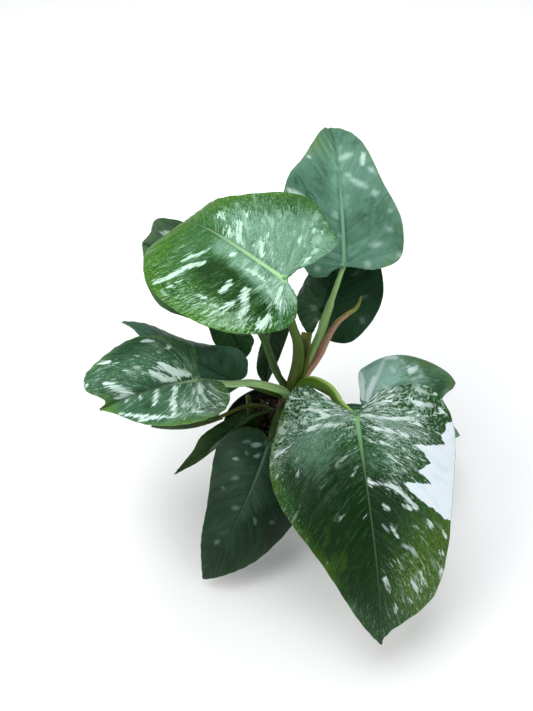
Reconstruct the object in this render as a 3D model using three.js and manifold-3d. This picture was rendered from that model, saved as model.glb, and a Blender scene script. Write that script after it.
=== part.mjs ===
// Potted white princess philodendron: thirteen heart-shaped leaves on long stalks over a
// black nursery pot. Millimetres, +Z up. The origin is the centre of the pot's flat bottom
// and -Y faces the camera of the reference photograph.

import * as THREE from "three";
import { mergeGeometries, mergeVertices } from "three/addons/utils/BufferGeometryUtils.js";
import Module from "manifold-3d";

const manifoldLibrary = await Module();
manifoldLibrary.setup();
const { Manifold, Mesh: ManifoldMesh } = manifoldLibrary;

// Driving sizes.
const gap = 0.3;
const pot = {
  height: 105, rimRadius: 56, rimHeight: 12, neckRadius: 52.6, bottomRadius: 41,
  wall: 1.6, floor: 2, drainHoles: 6, drainRadius: 4, drainCircle: 27,
};
const soil = { edgeHeight: 90, middleHeight: 93 };
const stem = {
  path: [[-3, -1, 60], [-2, 0, 92], [6, 6, 125], [15, 12, 152]],
  rootRadius: 6, crownRadius: 7,
};
const blade = { thickness: 0.9, keel: 2, tipKeel: 0.3 };

// One entry a leaf. A blade starts at its joint with the stalk and runs to its tip:
// heading, climb and bank turn it as a plane is turned. left and right are the outlines of
// the two halves, from the joint to the tip, as (along, across) points with the blade flat.
// arch bends it down along its length (a higher archPower bends it later), sway bends it
// sideways, twist turns it about its midrib, fold lifts both halves, curlLeft and curlRight
// roll their edges down, heel bends the lobes down, wave is the height of the edge's waves.
const leaves = [
  {
    name: "front", colour: 0x4c7a48, joint: [67, -53, 192], length: 214,
    heading: -82, climb: -33, bank: -2,
    left: [[-4, 9], [-17, 26], [-15, 74], [25, 95], [94, 82], [174, 54], [201, 7]],
    right: [[-3, 10], [-20, 29], [-27, 52], [26, 87], [70, 86], [130, 47], [184, 19]],
    arch: 41, archPower: 1.6, sway: 2, twist: -1, fold: -10, curlLeft: 8, curlRight: 37,
    heel: -10, wave: 6, waves: 2.5, wavePhase: 91,
    via: [[32, 0, 173], [49, -19, 181], [56, -35, 182]], start: 146, thick: 5.6, thin: 3.4,
  },
  {
    name: "low_front", colour: 0x3a6149, joint: [-9, -40, 128], length: 162,
    heading: -113, climb: -37, bank: 10,
    left: [[-6, 4], [-12, 13], [-8, 35], [38, 62], [98, 41], [132, 19]],
    right: [[-5, 3], [-10, 12], [-4, 33], [28, 49], [86, 32], [125, 20]],
    arch: 33, archPower: 1.3, sway: -19, twist: 9, fold: 10, curlLeft: 70, curlRight: 31,
    heel: 10, wave: 8, waves: 2.5, wavePhase: -10,
    via: [[1, -12, 137]], start: 128, thick: 3.4, thin: 2.6,
  },
  {
    name: "left_front", colour: 0x557d62, joint: [-71, -25, 203], length: 95,
    heading: -166, climb: 3, bank: 29,
    left: [[-9, 2], [-20, 10], [-17, 36], [6, 71], [41, 49], [73, 16]],
    right: [[-2, 5], [0, 12], [2, 31], [50, 64], [84, 48], [99, 28], [84, 6]],
    arch: 38, archPower: 1.3, sway: 12, twist: -7, fold: 35, curlLeft: -27, curlRight: 107,
    heel: 15, wave: 11, waves: 2.5, wavePhase: -69,
    via: [[2, -4, 167], [-25, -11, 184], [-42, -19, 191]], start: 142, thick: 5, thin: 2.4,
  },
  {
    name: "left_rear", colour: 0x3c6149, joint: [-40, 20, 152], length: 146,
    heading: 167, climb: 19, bank: 7,
    left: [[-3, 3], [-2, 9], [12, 26], [42, 38], [81, 25], [113, 9]],
    right: [[-6, 8], [-6, 20], [0, 37], [28, 53], [79, 41], [120, 25]],
    arch: 27, archPower: 2, sway: -32, twist: 30, fold: 8, curlLeft: 22, curlRight: 57,
    heel: 15, wave: 8, waves: 2, wavePhase: -34,
    via: [[-16, 10, 151]], start: 138, thick: 3, thin: 2.2,
  },
  {
    name: "upper_left", colour: 0x6a9a62, joint: [4, -1, 296], length: 162,
    heading: 147, climb: 16, bank: 2,
    left: [[-7, 3], [-20, 12], [-28, 38], [7, 76], [72, 74], [128, 45], [157, 20]],
    right: [[-2, 8], [0, 15], [-8, 34], [-8, 77], [43, 90], [103, 49], [152, 29]],
    arch: 74, archPower: 1.7, sway: -26, twist: -18, fold: -1, curlLeft: 5, curlRight: -1,
    heel: 5, wave: 4, waves: 3, wavePhase: -64,
    via: [[20, 16, 186], [18.5, 15, 211], [13, 14, 231]], start: 152, thick: 5.6, thin: 2.8,
  },
  {
    name: "behind_upper", colour: 0x5f8374, joint: [-38, 81, 208], length: 141,
    heading: 148, climb: 20, bank: 27,
    left: [[-14, 5], [-26, 17], [-22, 41], [38, 62], [84, 45], [114, 18]],
    right: [[-16, 4], [-31, 16], [-28, 38], [41, 55], [94, 45], [118, 17]],
    arch: 38, archPower: 1.6, sway: 11, twist: -28, fold: 34, curlLeft: 0, curlRight: -28,
    heel: 10, wave: 5, waves: 2.5, wavePhase: -27,
    via: [[0, 20, 163], [-16, 50, 188]], start: 147, thick: 3.7, thin: 2.5,
  },
  {
    name: "top", colour: 0x6b9080, joint: [64, 77, 253], length: 178,
    heading: 90, climb: 36, bank: 22,
    left: [[-4, 14], [-9, 18], [-2, 37], [46, 58], [87, 52], [119, 32]],
    right: [[-3, 9], [-8, 31], [0, 54], [28, 57], [75, 42], [130, 27]],
    arch: 59, archPower: 3.3, sway: 8, twist: 32, fold: 16, curlLeft: 19, curlRight: 11,
    heel: 20, wave: -8, waves: 2.5, wavePhase: -24,
    via: [[27, 21, 171], [41, 39, 194], [48, 51, 213]], start: 148, thick: 6, thin: 2.8,
  },
  {
    name: "rear_right", colour: 0x2f5140, joint: [47, 77, 198], length: 107,
    heading: 66, climb: 42, bank: 3,
    left: [[-14, 1], [-28, 6], [-14, 22], [11, 34], [56, 25], [88, 8]],
    right: [[-14, 1], [-27, 7], [-20, 42], [24, 57], [63, 41], [90, 15]],
    arch: 34, archPower: 1.6, sway: 7, twist: -9, fold: 10, curlLeft: 38, curlRight: 7,
    heel: 22, wave: 6, waves: 3, wavePhase: -59,
    via: [[25, 26, 152], [38, 47, 166], [46, 66, 179]], start: 140, thick: 3, thin: 2.2,
  },
  {
    name: "right", colour: 0x6f9483, joint: [91, 11, 124], length: 140,
    heading: -8, climb: -13, bank: 9,
    left: [[-4, 5], [-4, 19], [-3, 53], [38, 70], [123, 58], [104, 32]],
    right: [[-9, 3], [-20, 3], [-22, 16], [19, 40], [72, 30], [110, 12]],
    arch: 38, archPower: 1.4, sway: 26, twist: 14, fold: -4, curlLeft: -53, curlRight: 16,
    heel: 21, wave: -7, waves: 2, wavePhase: 163,
    via: [[52, 4, 129], [76, 9, 118]], start: 136, thick: 3, thin: 2.2,
  },
  {
    name: "hanging", colour: 0x2f4d3b, joint: [-55, 99, 162], length: 56, small: true,
    heading: -31, climb: -69, bank: -15,
    left: [[-11, 3], [-11, 15], [41, 21], [51, 12]],
    right: [[-12, 8], [-17, 22], [16, 23], [37, 9]],
    arch: 7, archPower: 1.6, sway: 14, twist: 14, fold: 11, curlLeft: 38, curlRight: 15,
    heel: 20, wave: 2, waves: 2.5, wavePhase: -43,
    via: [[-5, 45, 163], [-17, 76, 169]], start: 138, thick: 2.6, thin: 1.8,
  },
  {
    name: "inner", colour: 0x27432f, joint: [-2, 106, 156], length: 81, small: true,
    heading: -111, climb: -65, bank: 13,
    left: [[-5, 3], [-2, 18], [34, 14], [57, 8]],
    right: [[-4, 3], [8, 6], [42, 14], [65, 11]],
    arch: 2, archPower: 1.5, sway: 4, twist: 9, fold: 8, curlLeft: 6, curlRight: 35,
    heel: 10, wave: 4, waves: 2.5, wavePhase: 1,
    via: [[3, 34, 146], [-9, 72, 155]], start: 134, thick: 2.6, thin: 1.8,
  },
  {
    name: "narrow", colour: 0x3c5f41, joint: [-34, -8, 123], length: 88, small: true,
    heading: -146, climb: -20, bank: 16,
    left: [[-6, 2], [-6, 5], [28, 6], [60, 5]],
    right: [[-6, 2], [-4, 10], [42, 14], [62, 7]],
    arch: 8, archPower: 1.5, sway: -4, twist: -1, fold: 2, curlLeft: 5, curlRight: 15,
    heel: 10, wave: -4, waves: 2.5, wavePhase: 10,
    via: [[-13, -1, 128]], start: 122, thick: 2.6, thin: 1.8,
  },
  {
    name: "old", colour: 0x4b6a55, joint: [-64, -7, 125], length: 75, small: true,
    heading: -177, climb: -23, bank: 15,
    left: [[-7, 2], [-8, 4], [22, 5], [50, 3]],
    right: [[-7, 3], [-8, 16], [20, 23], [50, 13]],
    arch: 0, archPower: 1.4, sway: -22, twist: -9, fold: 10, curlLeft: -8, curlRight: 15,
    heel: 10, wave: 0, waves: 2.5, wavePhase: 33,
    via: [[-24, 8, 128]], start: 118, thick: 2.6, thin: 1.8,
  },
];

const cataphyll = {
  path: [
    [18, 12, 150], [28, 17, 167], [41, 25, 185], [49, 35, 198], [57, 43, 209], [67, 48, 216.5], [76, 52, 221.5],
    [81, 58, 232],
  ],
  rootRadius: 6.4, tipRadius: 1.8, tipShare: 0.8,
};
const sheath = {
  path: [[16, 12, 150], [23, 17, 172], [26, 27, 189], [29, 38, 205]], rootRadius: 7.5, tipRadius: 5.2,
};
const shoots = [
  { name: "young_shoot", path: [[-20, 0, 66], [-24, 3, 90], [-27, 9, 112], [-30, 16, 136]], root: 8, tip: 2 },
  { name: "second_shoot", path: [[-8, 18, 68], [-10, 17, 90], [-12, 14, 112], [-16, 13, 131]], root: 5.5, tip: 1.4 },
];

const vector = (list) => new THREE.Vector3(...list);
const turn = (direction, axis, angle) => direction.clone().applyAxisAngle(axis, angle);
const radians = THREE.MathUtils.degToRad;

function material(colour, roughness = 0.5) {
  return new THREE.MeshStandardMaterial({ color: colour, roughness, metalness: 0 });
}

// The blade's midrib as stations with a position and three directions: along the midrib,
// across to the left half, and out of the upper face.
function midribStations(leaf, forward = 24, backward = 6) {
  const heading = radians(leaf.heading);
  const climb = radians(leaf.climb);
  const along = new THREE.Vector3(
    Math.cos(climb) * Math.cos(heading), Math.cos(climb) * Math.sin(heading), Math.sin(climb));
  const level = new THREE.Vector3(
    -Math.sin(climb) * Math.cos(heading), -Math.sin(climb) * Math.sin(heading), Math.cos(climb));
  const face = turn(level, along, -radians(leaf.bank));
  const root = { at: 0, position: vector(leaf.joint), along, across: face.clone().cross(along), face };
  const stations = [root];
  let last = root;
  for (let i = 1; i <= forward; i += 1) {
    const share = (i / forward) ** leaf.archPower - ((i - 1) / forward) ** leaf.archPower;
    const position = last.position.clone().addScaledVector(last.along, leaf.length / forward);
    const arch = radians(leaf.arch) * share;
    const sway = radians(leaf.sway) / forward;
    const twist = radians(leaf.twist) / forward;
    let newAlong = turn(last.along, last.across, arch);
    let newFace = turn(last.face, last.across, arch);
    newAlong = turn(newAlong, newFace, sway);
    newFace = turn(newFace, newAlong, twist);
    last = { at: leaf.length * i / forward, position, along: newAlong,
      across: newFace.clone().cross(newAlong), face: newFace };
    stations.push(last);
  }
  const lobe = Math.max(15, ...[...leaf.left, ...leaf.right].map(([x]) => -x));
  last = root;
  for (let i = 1; i <= backward; i += 1) {
    const position = last.position.clone().addScaledVector(last.along, -lobe / backward);
    const bend = -radians(leaf.heel) / backward;
    last = { at: -lobe * i / backward, position, along: turn(last.along, last.across, bend),
      across: last.across, face: turn(last.face, last.across, bend) };
    stations.unshift(last);
  }
  return stations;
}

function stationAt(stations, x) {
  let i = 1;
  while (i < stations.length - 1 && stations[i].at < x) i += 1;
  const [a, b] = [stations[i - 1], stations[i]];
  const share = THREE.MathUtils.clamp((x - a.at) / (b.at - a.at), 0, 1);
  return {
    position: a.position.clone().lerp(b.position, share),
    across: a.across.clone().lerp(b.across, share).normalize(),
    face: a.face.clone().lerp(b.face, share).normalize(),
  };
}

// A point of the flat blade: row runs round the edge from the joint (0) to the tip (1),
// column runs along a side vein from the midrib (0) to the edge (1).
const firstForwardRow = 0.3;

// The row whose midrib point the stalk meets from below, a few millimetres past the notch.
const seatRow = 0.325;
function flatPoint(edge, length, row, column) {
  const end = edge.getPoint(row);
  const climb = Math.max(0, (row - firstForwardRow) / (1 - firstForwardRow));
  const root = length * climb ** 1.15;
  const vein = new THREE.QuadraticBezierCurve(
    new THREE.Vector2(root, 0),
    new THREE.Vector2(root + 0.25 * (end.x - root), 0.6 * end.y),
    end);
  return vein.getPoint(column);
}

function bladeSheet(leaf) {
  const stations = midribStations(leaf);
  const edges = {};
  for (const half of ["left", "right"]) {
    const points = [[0, 0], ...leaf[half], [leaf.length, 0]];
    edges[half] = new THREE.SplineCurve(points.map(([x, y]) => new THREE.Vector2(x, y)));
  }
  const widest = { left: 0, right: 0 };
  for (const half of ["left", "right"]) widest[half] = Math.max(...leaf[half].map(([, y]) => y));
  return (row, column, lift) => {
    const half = column >= 0 ? "left" : "right";
    const side = column >= 0 ? 1 : -1;
    const { x, y } = flatPoint(edges[half], leaf.length, row, Math.abs(column));
    const { position, across, face } = stationAt(stations, x);
    const fold = radians(leaf.fold);
    const curl = radians(half === "left" ? leaf.curlLeft : leaf.curlRight) / widest[half] || 1e-6;
    const tilt = fold - curl * y;
    const sideways = (Math.sin(fold) - Math.sin(tilt)) / curl;
    const phase = 2 * Math.PI * leaf.waves * row + radians(leaf.wavePhase) + (side > 0 ? 0 : 2);
    const rise = (Math.cos(tilt) - Math.cos(fold)) / curl
      + leaf.wave * (y / widest[half]) ** 2 * Math.sin(phase);
    const normal = column === 0 ? face.clone()
      : face.clone().multiplyScalar(Math.cos(tilt)).addScaledVector(across, -side * Math.sin(tilt));
    return position.addScaledVector(across, side * sideways).addScaledVector(face, rise)
      .addScaledVector(normal, lift);
  };
}

// Joins one corner's copies, drops flat triangles and turns every face outwards.
function closedGeometry(parts) {
  const joined = mergeVertices(mergeGeometries(parts.map((part) => {
    const bare = new THREE.BufferGeometry();
    bare.setAttribute("position", part.getAttribute("position"));
    bare.setIndex(part.getIndex());
    return bare;
  })), 1e-3);
  const index = Array.from(joined.getIndex().array);
  const kept = [];
  for (let i = 0; i < index.length; i += 3) {
    const [a, b, c] = index.slice(i, i + 3);
    if (a !== b && b !== c && c !== a) kept.push(a, b, c);
  }
  joined.setIndex(kept);
  return joined;
}

// The blade as a solid: its upper face, its lower face with a keel under the midrib, and
// the strip round the edge. Both faces are split into triangles alike.
function bladeSolid(leaf, grow = 0, firstRow = 0.045) {
  const sheet = bladeSheet(leaf);
  const rows = leaf.small ? 11 : 18;
  const half = leaf.small ? [0.1, 0.55, 1] : [0.06, 0.35, 0.7, 1];
  const columns = [...half.map((share) => -share).reverse(), 0, ...half];
  const rowAt = (i) => firstRow + (1 - firstRow) * i / rows;
  const keelAt = (row) => {
    const share = Math.min(1, Math.max(0, (row - firstForwardRow) / (1 - firstForwardRow)));
    return THREE.MathUtils.lerp(blade.keel, blade.tipKeel, share);
  };
  const reach = blade.thickness / 2 + grow;
  const upper = new THREE.PlaneGeometry(1, 1, columns.length - 1, rows);
  const lower = upper.clone();
  const columnAt = (i, j) => (i === rows ? 0 : columns[j]);
  const topPoint = (i, j) => sheet(rowAt(i), columnAt(i, j), reach);
  const bottomPoint = (i, j) => {
    const keel = columnAt(i, j) === 0 ? keelAt(rowAt(i)) : 0;
    return sheet(rowAt(i), columnAt(i, j), -reach - keel);
  };
  for (let i = 0; i <= rows; i += 1) {
    for (let j = 0; j < columns.length; j += 1) {
      const vertex = i * columns.length + j;
      const top = topPoint(i, j);
      const bottom = bottomPoint(i, j);
      upper.getAttribute("position").setXYZ(vertex, top.x, top.y, top.z);
      lower.getAttribute("position").setXYZ(vertex, bottom.x, bottom.y, bottom.z);
    }
  }
  lower.setIndex(Array.from(lower.getIndex().array).reverse());
  const lastColumn = columns.length - 1;
  const boundary = [];
  for (let j = 0; j <= lastColumn; j += 1) boundary.push([0, j]);
  for (let i = 1; i <= rows; i += 1) boundary.push([i, lastColumn]);
  for (let i = rows - 1; i >= 0; i -= 1) boundary.push([i, 0]);
  const strip = new THREE.PlaneGeometry(1, 1, boundary.length - 1, 1);
  boundary.forEach(([i, j], k) => {
    const top = topPoint(i, j);
    const bottom = bottomPoint(i, j);
    strip.getAttribute("position").setXYZ(k, bottom.x, bottom.y, bottom.z);
    strip.getAttribute("position").setXYZ(k + boundary.length, top.x, top.y, top.z);
  });
  return closedGeometry([upper, lower, strip]);
}

// A round stalk along a smooth path, closed at both ends, thinning from its root to its tip.
// grow makes it bigger all round, as the room that it needs.
function stalk(points, rootRadius, tipRadius, { sides = 8, steps = 9, from = 0, to = 1, grow = 0 } = {}) {
  const path = new THREE.CatmullRomCurve3(points.map(vector), false, "centripetal");
  const frames = path.computeFrenetFrames(steps * 4);
  const geometry = new THREE.CylinderGeometry(1, 1, 1, sides, steps);
  const position = geometry.getAttribute("position");
  for (let i = 0; i < position.count; i += 1) {
    const share = from + (to - from) * (0.5 - position.getY(i));
    const frame = Math.round(share * steps * 4);
    const radius = THREE.MathUtils.lerp(rootRadius, tipRadius, share) + grow;
    const push = share === to ? grow : share === from ? -grow : 0;
    const place = path.getPointAt(share).addScaledVector(frames.tangents[frame], push)
      .addScaledVector(frames.normals[frame], position.getX(i) * radius)
      .addScaledVector(frames.binormals[frame], position.getZ(i) * radius);
    position.setXYZ(i, place.x, place.y, place.z);
  }
  return closedGeometry([geometry]);
}

function toSolid(geometry) {
  const solid = new Manifold(new ManifoldMesh({
    numProp: 3,
    vertProperties: new Float32Array(geometry.getAttribute("position").array),
    triVerts: new Uint32Array(geometry.getIndex().array),
  }));
  return solid;
}

// The room that a blade needs where its stalk meets it: the blade grown in thickness and
// moved a little to both sides, and the same with its notch closed, moved back to the stalk.
function bladeRoom(leaf) {
  const { along, across } = midribStations(leaf, 1, 1)[1];
  const open = toSolid(bladeSolid(leaf, gap));
  const closed = toSolid(bladeSolid(leaf, gap, 0.001));
  const aside = across.clone().multiplyScalar(0.5 * gap);
  return closed.add(closed.translate(along.clone().multiplyScalar(-2 * gap).toArray()))
    .add(open.translate(aside.toArray())).add(open.translate(aside.negate().toArray()));
}

// The biggest body of a solid that a cut may have split.
function mainBody(solid) {
  return solid.decompose().reduce((best, body) => (body.volume() > best.volume() ? body : best));
}

function toGeometry(solid) {
  const mesh = solid.getMesh();
  const geometry = new THREE.BufferGeometry();
  geometry.setAttribute("position", new THREE.BufferAttribute(new Float32Array(mesh.vertProperties), 3));
  geometry.setIndex(new THREE.BufferAttribute(new Uint32Array(mesh.triVerts), 1));
  return geometry;
}

const plant = new THREE.Group();

function addPiece(name, geometry, look) {
  const mesh = new THREE.Mesh(geometry, look);
  mesh.name = name;
  geometry.computeVertexNormals();
  plant.add(mesh);
  return mesh;
}

function turned(profile, segments = 48) {
  const lathe = new THREE.LatheGeometry(profile.map(([r, z]) => new THREE.Vector2(r, z)), segments);
  lathe.rotateX(Math.PI / 2);
  return closedGeometry([lathe]);
}

function wallRadius(height) {
  const share = height / (pot.height - pot.rimHeight);
  return THREE.MathUtils.lerp(pot.bottomRadius, pot.neckRadius, share) - pot.wall;
}

function buildPot() {
  const shoulder = pot.height - pot.rimHeight;
  const body = toSolid(turned([
    [0, 0], [pot.bottomRadius, 0], [pot.neckRadius, shoulder], [pot.rimRadius, shoulder],
    [pot.rimRadius, pot.height], [pot.rimRadius - pot.wall, pot.height],
    [pot.rimRadius - pot.wall, shoulder + pot.wall], [wallRadius(shoulder + pot.wall), shoulder + pot.wall],
    [wallRadius(pot.floor), pot.floor], [0, pot.floor],
  ]));
  let shell = body;
  for (let i = 0; i < pot.drainHoles; i += 1) {
    const angle = 2 * Math.PI * i / pot.drainHoles;
    const hole = new THREE.CylinderGeometry(pot.drainRadius, pot.drainRadius, pot.floor * 3, 16);
    hole.rotateX(Math.PI / 2);
    hole.translate(pot.drainCircle * Math.cos(angle), pot.drainCircle * Math.sin(angle), 0);
    shell = shell.subtract(toSolid(closedGeometry([hole])));
  }
  addPiece("pot", toGeometry(shell), material(0x1d1e1c, 0.45));
}

function buildSoil(standing) {
  const low = pot.floor + gap;
  const mound = soil.edgeHeight + (soil.middleHeight - soil.edgeHeight) * 0.7;
  let body = toSolid(turned([
    [0, low], [wallRadius(low) - gap, low], [wallRadius(soil.edgeHeight) - gap, soil.edgeHeight],
    [30, mound], [0, soil.middleHeight],
  ]));
  for (const solid of standing) body = body.subtract(solid);
  addPiece("potting_mix", toGeometry(mainBody(body)), material(0x2b2018, 0.95));
}

function axisPoint(height) {
  const path = new THREE.CatmullRomCurve3(stem.path.map(vector), false, "centripetal");
  let share = 0;
  while (share < 1 && path.getPoint(share).z < height) share += 0.01;
  return path.getPoint(Math.min(1, share)).toArray();
}

buildPot();

const stemSolid = toSolid(stalk(stem.path, stem.rootRadius, stem.crownRadius, { sides: 14 }));
const stemRoom = toSolid(stalk(stem.path, stem.rootRadius, stem.crownRadius, { sides: 14, grow: gap }));
const shootRooms = shoots.map(({ path, root, tip }) => toSolid(stalk(path, root, tip, { grow: gap })));
buildSoil([stemRoom, ...shootRooms]);
addPiece("main_stem", toGeometry(stemSolid), material(0x5a3a22, 0.7));
for (const { name, path, root, tip } of shoots) {
  addPiece(name, stalk(path, root, tip), material(0x2f4a1c));
}

// Every later piece near the crown is cut clear of the ones before it.
const taken = [stemRoom, ...shootRooms];
function clearOf(solid, blocks) {
  let rest = solid;
  for (const block of blocks) rest = rest.subtract(block);
  return mainBody(rest);
}

for (const leaf of leaves) {
  const under = bladeSheet(leaf)(seatRow, 0, -blade.thickness / 2 - blade.keel - gap);
  const route = [axisPoint(leaf.start), ...leaf.via, under.toArray()];
  const petiole = clearOf(toSolid(stalk(route, leaf.thick, leaf.thin)), [...taken, bladeRoom(leaf)]);
  taken.push(toSolid(stalk(route, leaf.thick, leaf.thin, { grow: gap })));
  addPiece(`${leaf.name}_petiole`, toGeometry(petiole), material(0x7d9a4f));
  addPiece(`${leaf.name}_blade`, bladeSolid(leaf), material(leaf.colour, 0.4));
}

const sheathPath = toSolid(stalk(sheath.path, sheath.rootRadius, sheath.tipRadius));
addPiece("leaf_sheath", toGeometry(clearOf(sheathPath, taken)), material(0x6b7324));
taken.push(toSolid(stalk(sheath.path, sheath.rootRadius, sheath.tipRadius, { grow: gap })));

const { path: spearPath, rootRadius: spearRoot, tipRadius: spearTip, tipShare } = cataphyll;
const spear = toSolid(stalk(spearPath, spearRoot, spearTip, { to: tipShare }));
addPiece("cataphyll", toGeometry(clearOf(spear, taken)), material(0xa9786a));
addPiece("cataphyll_tip", stalk(spearPath, spearRoot, spearTip, { steps: 4, from: tipShare + 0.005 }),
  material(0xa9a85a));

export default plant;
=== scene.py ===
import math
import random

import bmesh
import bpy
import numpy as np
from mathutils import Matrix, Vector, noise


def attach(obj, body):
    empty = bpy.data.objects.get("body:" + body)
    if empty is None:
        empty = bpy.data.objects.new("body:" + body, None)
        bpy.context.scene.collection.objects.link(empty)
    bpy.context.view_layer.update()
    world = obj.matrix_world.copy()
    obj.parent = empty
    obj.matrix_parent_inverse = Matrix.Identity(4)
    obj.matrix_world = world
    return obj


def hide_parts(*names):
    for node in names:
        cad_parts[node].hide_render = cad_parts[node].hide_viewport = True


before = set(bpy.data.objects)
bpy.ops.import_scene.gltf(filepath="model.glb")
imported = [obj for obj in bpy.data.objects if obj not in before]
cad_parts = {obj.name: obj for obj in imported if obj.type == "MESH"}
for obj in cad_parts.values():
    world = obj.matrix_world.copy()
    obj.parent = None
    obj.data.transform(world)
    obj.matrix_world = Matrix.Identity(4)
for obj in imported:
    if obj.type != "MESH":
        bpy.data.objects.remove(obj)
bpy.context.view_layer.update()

print("frame loaded:", len(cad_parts), "nodes")
scene = bpy.context.scene
mm = 0.001

# The camera, where the photograph was taken from
cameraView = {"place": (-0.0105, -0.344735, 0.553455), "tilt": 45, "lens": 27.04, "sensor": 36, "near": 0.01}


def addCamera(view):
    data = bpy.data.cameras.new("plantCamera")
    data.lens = view["lens"]
    data.sensor_width = view["sensor"]
    data.clip_start = view["near"]
    cameraObject = bpy.data.objects.new("plantCamera", data)
    cameraObject.location = view["place"]
    cameraObject.rotation_euler = (math.radians(view["tilt"]), 0, 0)
    scene.collection.objects.link(cameraObject)
    scene.camera = cameraObject


addCamera(cameraView)


# Shader maths: colours, a wrapper round a socket, and a look that makes nodes
def linear(colour):
    # from 0-255 as on a screen to what the shader takes
    def channel(value):
        value /= 255
        return value / 12.92 if value <= 0.04045 else ((value + 0.055) / 1.055) ** 2.4
    return (*(channel(value) for value in colour), 1)


def tinted(colour, share, lift=0):
    return tuple(min(255, value * share + lift) for value in colour)


class Wire:
    def __init__(self, look, socket):
        self.look = look
        self.socket = socket

    def __add__(self, other):
        return self.look.maths("ADD", self, other)

    def __mul__(self, other):
        return self.look.maths("MULTIPLY", self, other)

    def __sub__(self, other):
        return self.look.maths("SUBTRACT", self, other)

    def __rsub__(self, other):
        return self.look.maths("SUBTRACT", other, self)

    def __truediv__(self, other):
        return self.look.maths("DIVIDE", self, other)

    def __pow__(self, other):
        return self.look.maths("POWER", self, other)

    def __abs__(self):
        return self.look.maths("ABSOLUTE", self)

    __radd__ = __add__
    __rmul__ = __mul__

    def fract(self):
        return self.look.maths("FRACT", self)

    def larger(self, other):
        return self.look.maths("MAXIMUM", self, other)

    def smaller(self, other):
        return self.look.maths("MINIMUM", self, other)

    def between(self, low, high, start=0, end=1):
        # an eased step: start below low, end above high
        return self.look.node("ShaderNodeMapRange", {
            "Value": self, "From Min": low, "From Max": high, "To Min": start, "To Max": end,
        }, interpolation_type="SMOOTHSTEP")


class Look:
    def __init__(self, name, colour, **constants):
        self.material = bpy.data.materials.new(name)
        self.material.use_nodes = True
        self.tree = self.material.node_tree
        self.tree.nodes.clear()
        self.colour = colour
        self.shader = self.tree.nodes.new("ShaderNodeBsdfPrincipled")
        output = self.tree.nodes.new("ShaderNodeOutputMaterial")
        self.tree.links.new(self.shader.outputs[0], output.inputs[0])
        for socketName, value in constants.items():
            self.feed(self.shader.inputs[socketName.replace("_", " ")], value)

    def feed(self, target, value):
        if isinstance(value, Wire):
            self.tree.links.new(value.socket, target)
        else:
            target.default_value = value

    def node(self, kind, sockets=None, out=0, **settings):
        # the settings come first, since they can change the sockets
        made = self.tree.nodes.new(kind)
        for key, value in settings.items():
            setattr(made, key, value)
        for key, value in (sockets or {}).items():
            self.feed(made.inputs[key], value)
        if out is None:
            return [Wire(self, socket) for socket in made.outputs]
        return Wire(self, made.outputs[out])

    def maths(self, operation, *values):
        return self.node("ShaderNodeMath", dict(enumerate(values)), operation=operation)

    def place(self):
        return self.node("ShaderNodeTexCoord", out="Object")

    def split(self, vector):
        return self.node("ShaderNodeSeparateXYZ", {0: vector}, out=None)

    def attribute(self, name):
        return self.split(self.node("ShaderNodeAttribute", out="Vector", attribute_name=name))

    def vector(self, x, y, z):
        return self.node("ShaderNodeCombineXYZ", {0: x, 1: y, 2: z})

    def noise(self, where, scale=1.0, detail=3.0, rough=0.5, distortion=0.0):
        return self.node("ShaderNodeTexNoise", {
            "Vector": where, "Scale": scale, "Detail": detail, "Roughness": rough, "Distortion": distortion})

    def mix(self, first, second, share):
        # a plain colour is given as 0-255
        first, second = (colour if isinstance(colour, Wire) else linear(colour) for colour in (first, second))
        return self.node("ShaderNodeMix", {0: share, 6: first, 7: second}, out=2, data_type="RGBA")

    def coat(self, colour, share):
        # lays a colour over those before it
        self.colour = self.mix(self.colour, colour, share)

    def finish(self, roughness, height=None, distance=None, strength=None):
        self.feed(self.shader.inputs["Base Color"], self.colour)
        self.feed(self.shader.inputs["Roughness"], roughness)
        if height is not None:
            bump = self.node("ShaderNodeBump", {"Height": height, "Distance": distance, "Strength": strength})
            self.feed(self.shader.inputs["Normal"], bump)
        return self.material


def newObject(name, bm, smooth=True):
    mesh = bpy.data.meshes.new(name)
    bm.to_mesh(mesh)
    bm.free()
    mesh.polygons.foreach_set("use_smooth", [smooth] * len(mesh.polygons))
    made = bpy.data.objects.new(name, mesh)
    scene.collection.objects.link(made)
    return made


# Everything grows or stands on the one body
def putOn(piece, material, node):
    piece.data.materials.append(material)
    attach(piece, "root")
    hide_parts(node)


# Leaf blades. Each has its sizes in mm and degrees, its outline in mm from the joint, the route of its
# stalk, and its colours. A spot is x, y, radius and amount, a streak is its width and its points. The
# dark spots are partly painted shade in folds and valleys, the pale spots partly a painted sheen.
bladeForm = {
    "thickness": 0.9, "edgeThickness": 0.45, "edgeReach": 3, "keel": 2.0, "keelReach": 2.4, "tipKeel": 0.3,
    "midribGroove": 0.9, "midribReach": 2.3, "midribTaper": 1.1, "quilting": 0.6, "veinWidth": 0.17,
    "veinKeel": 0.25, "ripple": 0.3, "firstRow": 0.04, "forwardRow": 0.3, "rootPower": 1.15,
    "bow": (0.25, 0.6), "seatRow": 0.325, "veinStep": 1.6, "veinSteps": 160, "halfApart": 700,
}

plainLeaf = dict(
    archPower=1.6, heel=10, waves=2.5, thick=2.6, thin=1.8, grid=(80, 40), veinGap=9,
    veinTurn=((80, 1), (80, 1)), veins=0.4, mottled=0.2, blotch=0.4, bands=0.35, torn=1.0, softness=1.0,
    edgeYellow=0.35, gloss=0.13, midribWidth=(1.8, 0.6), midribRun=0.45, speckle=0.05, speckleSpots=(),
    darkSpots=(), yellowSpots=(), paleSpots=(), streaks=(), faint=(), sector=())

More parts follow.
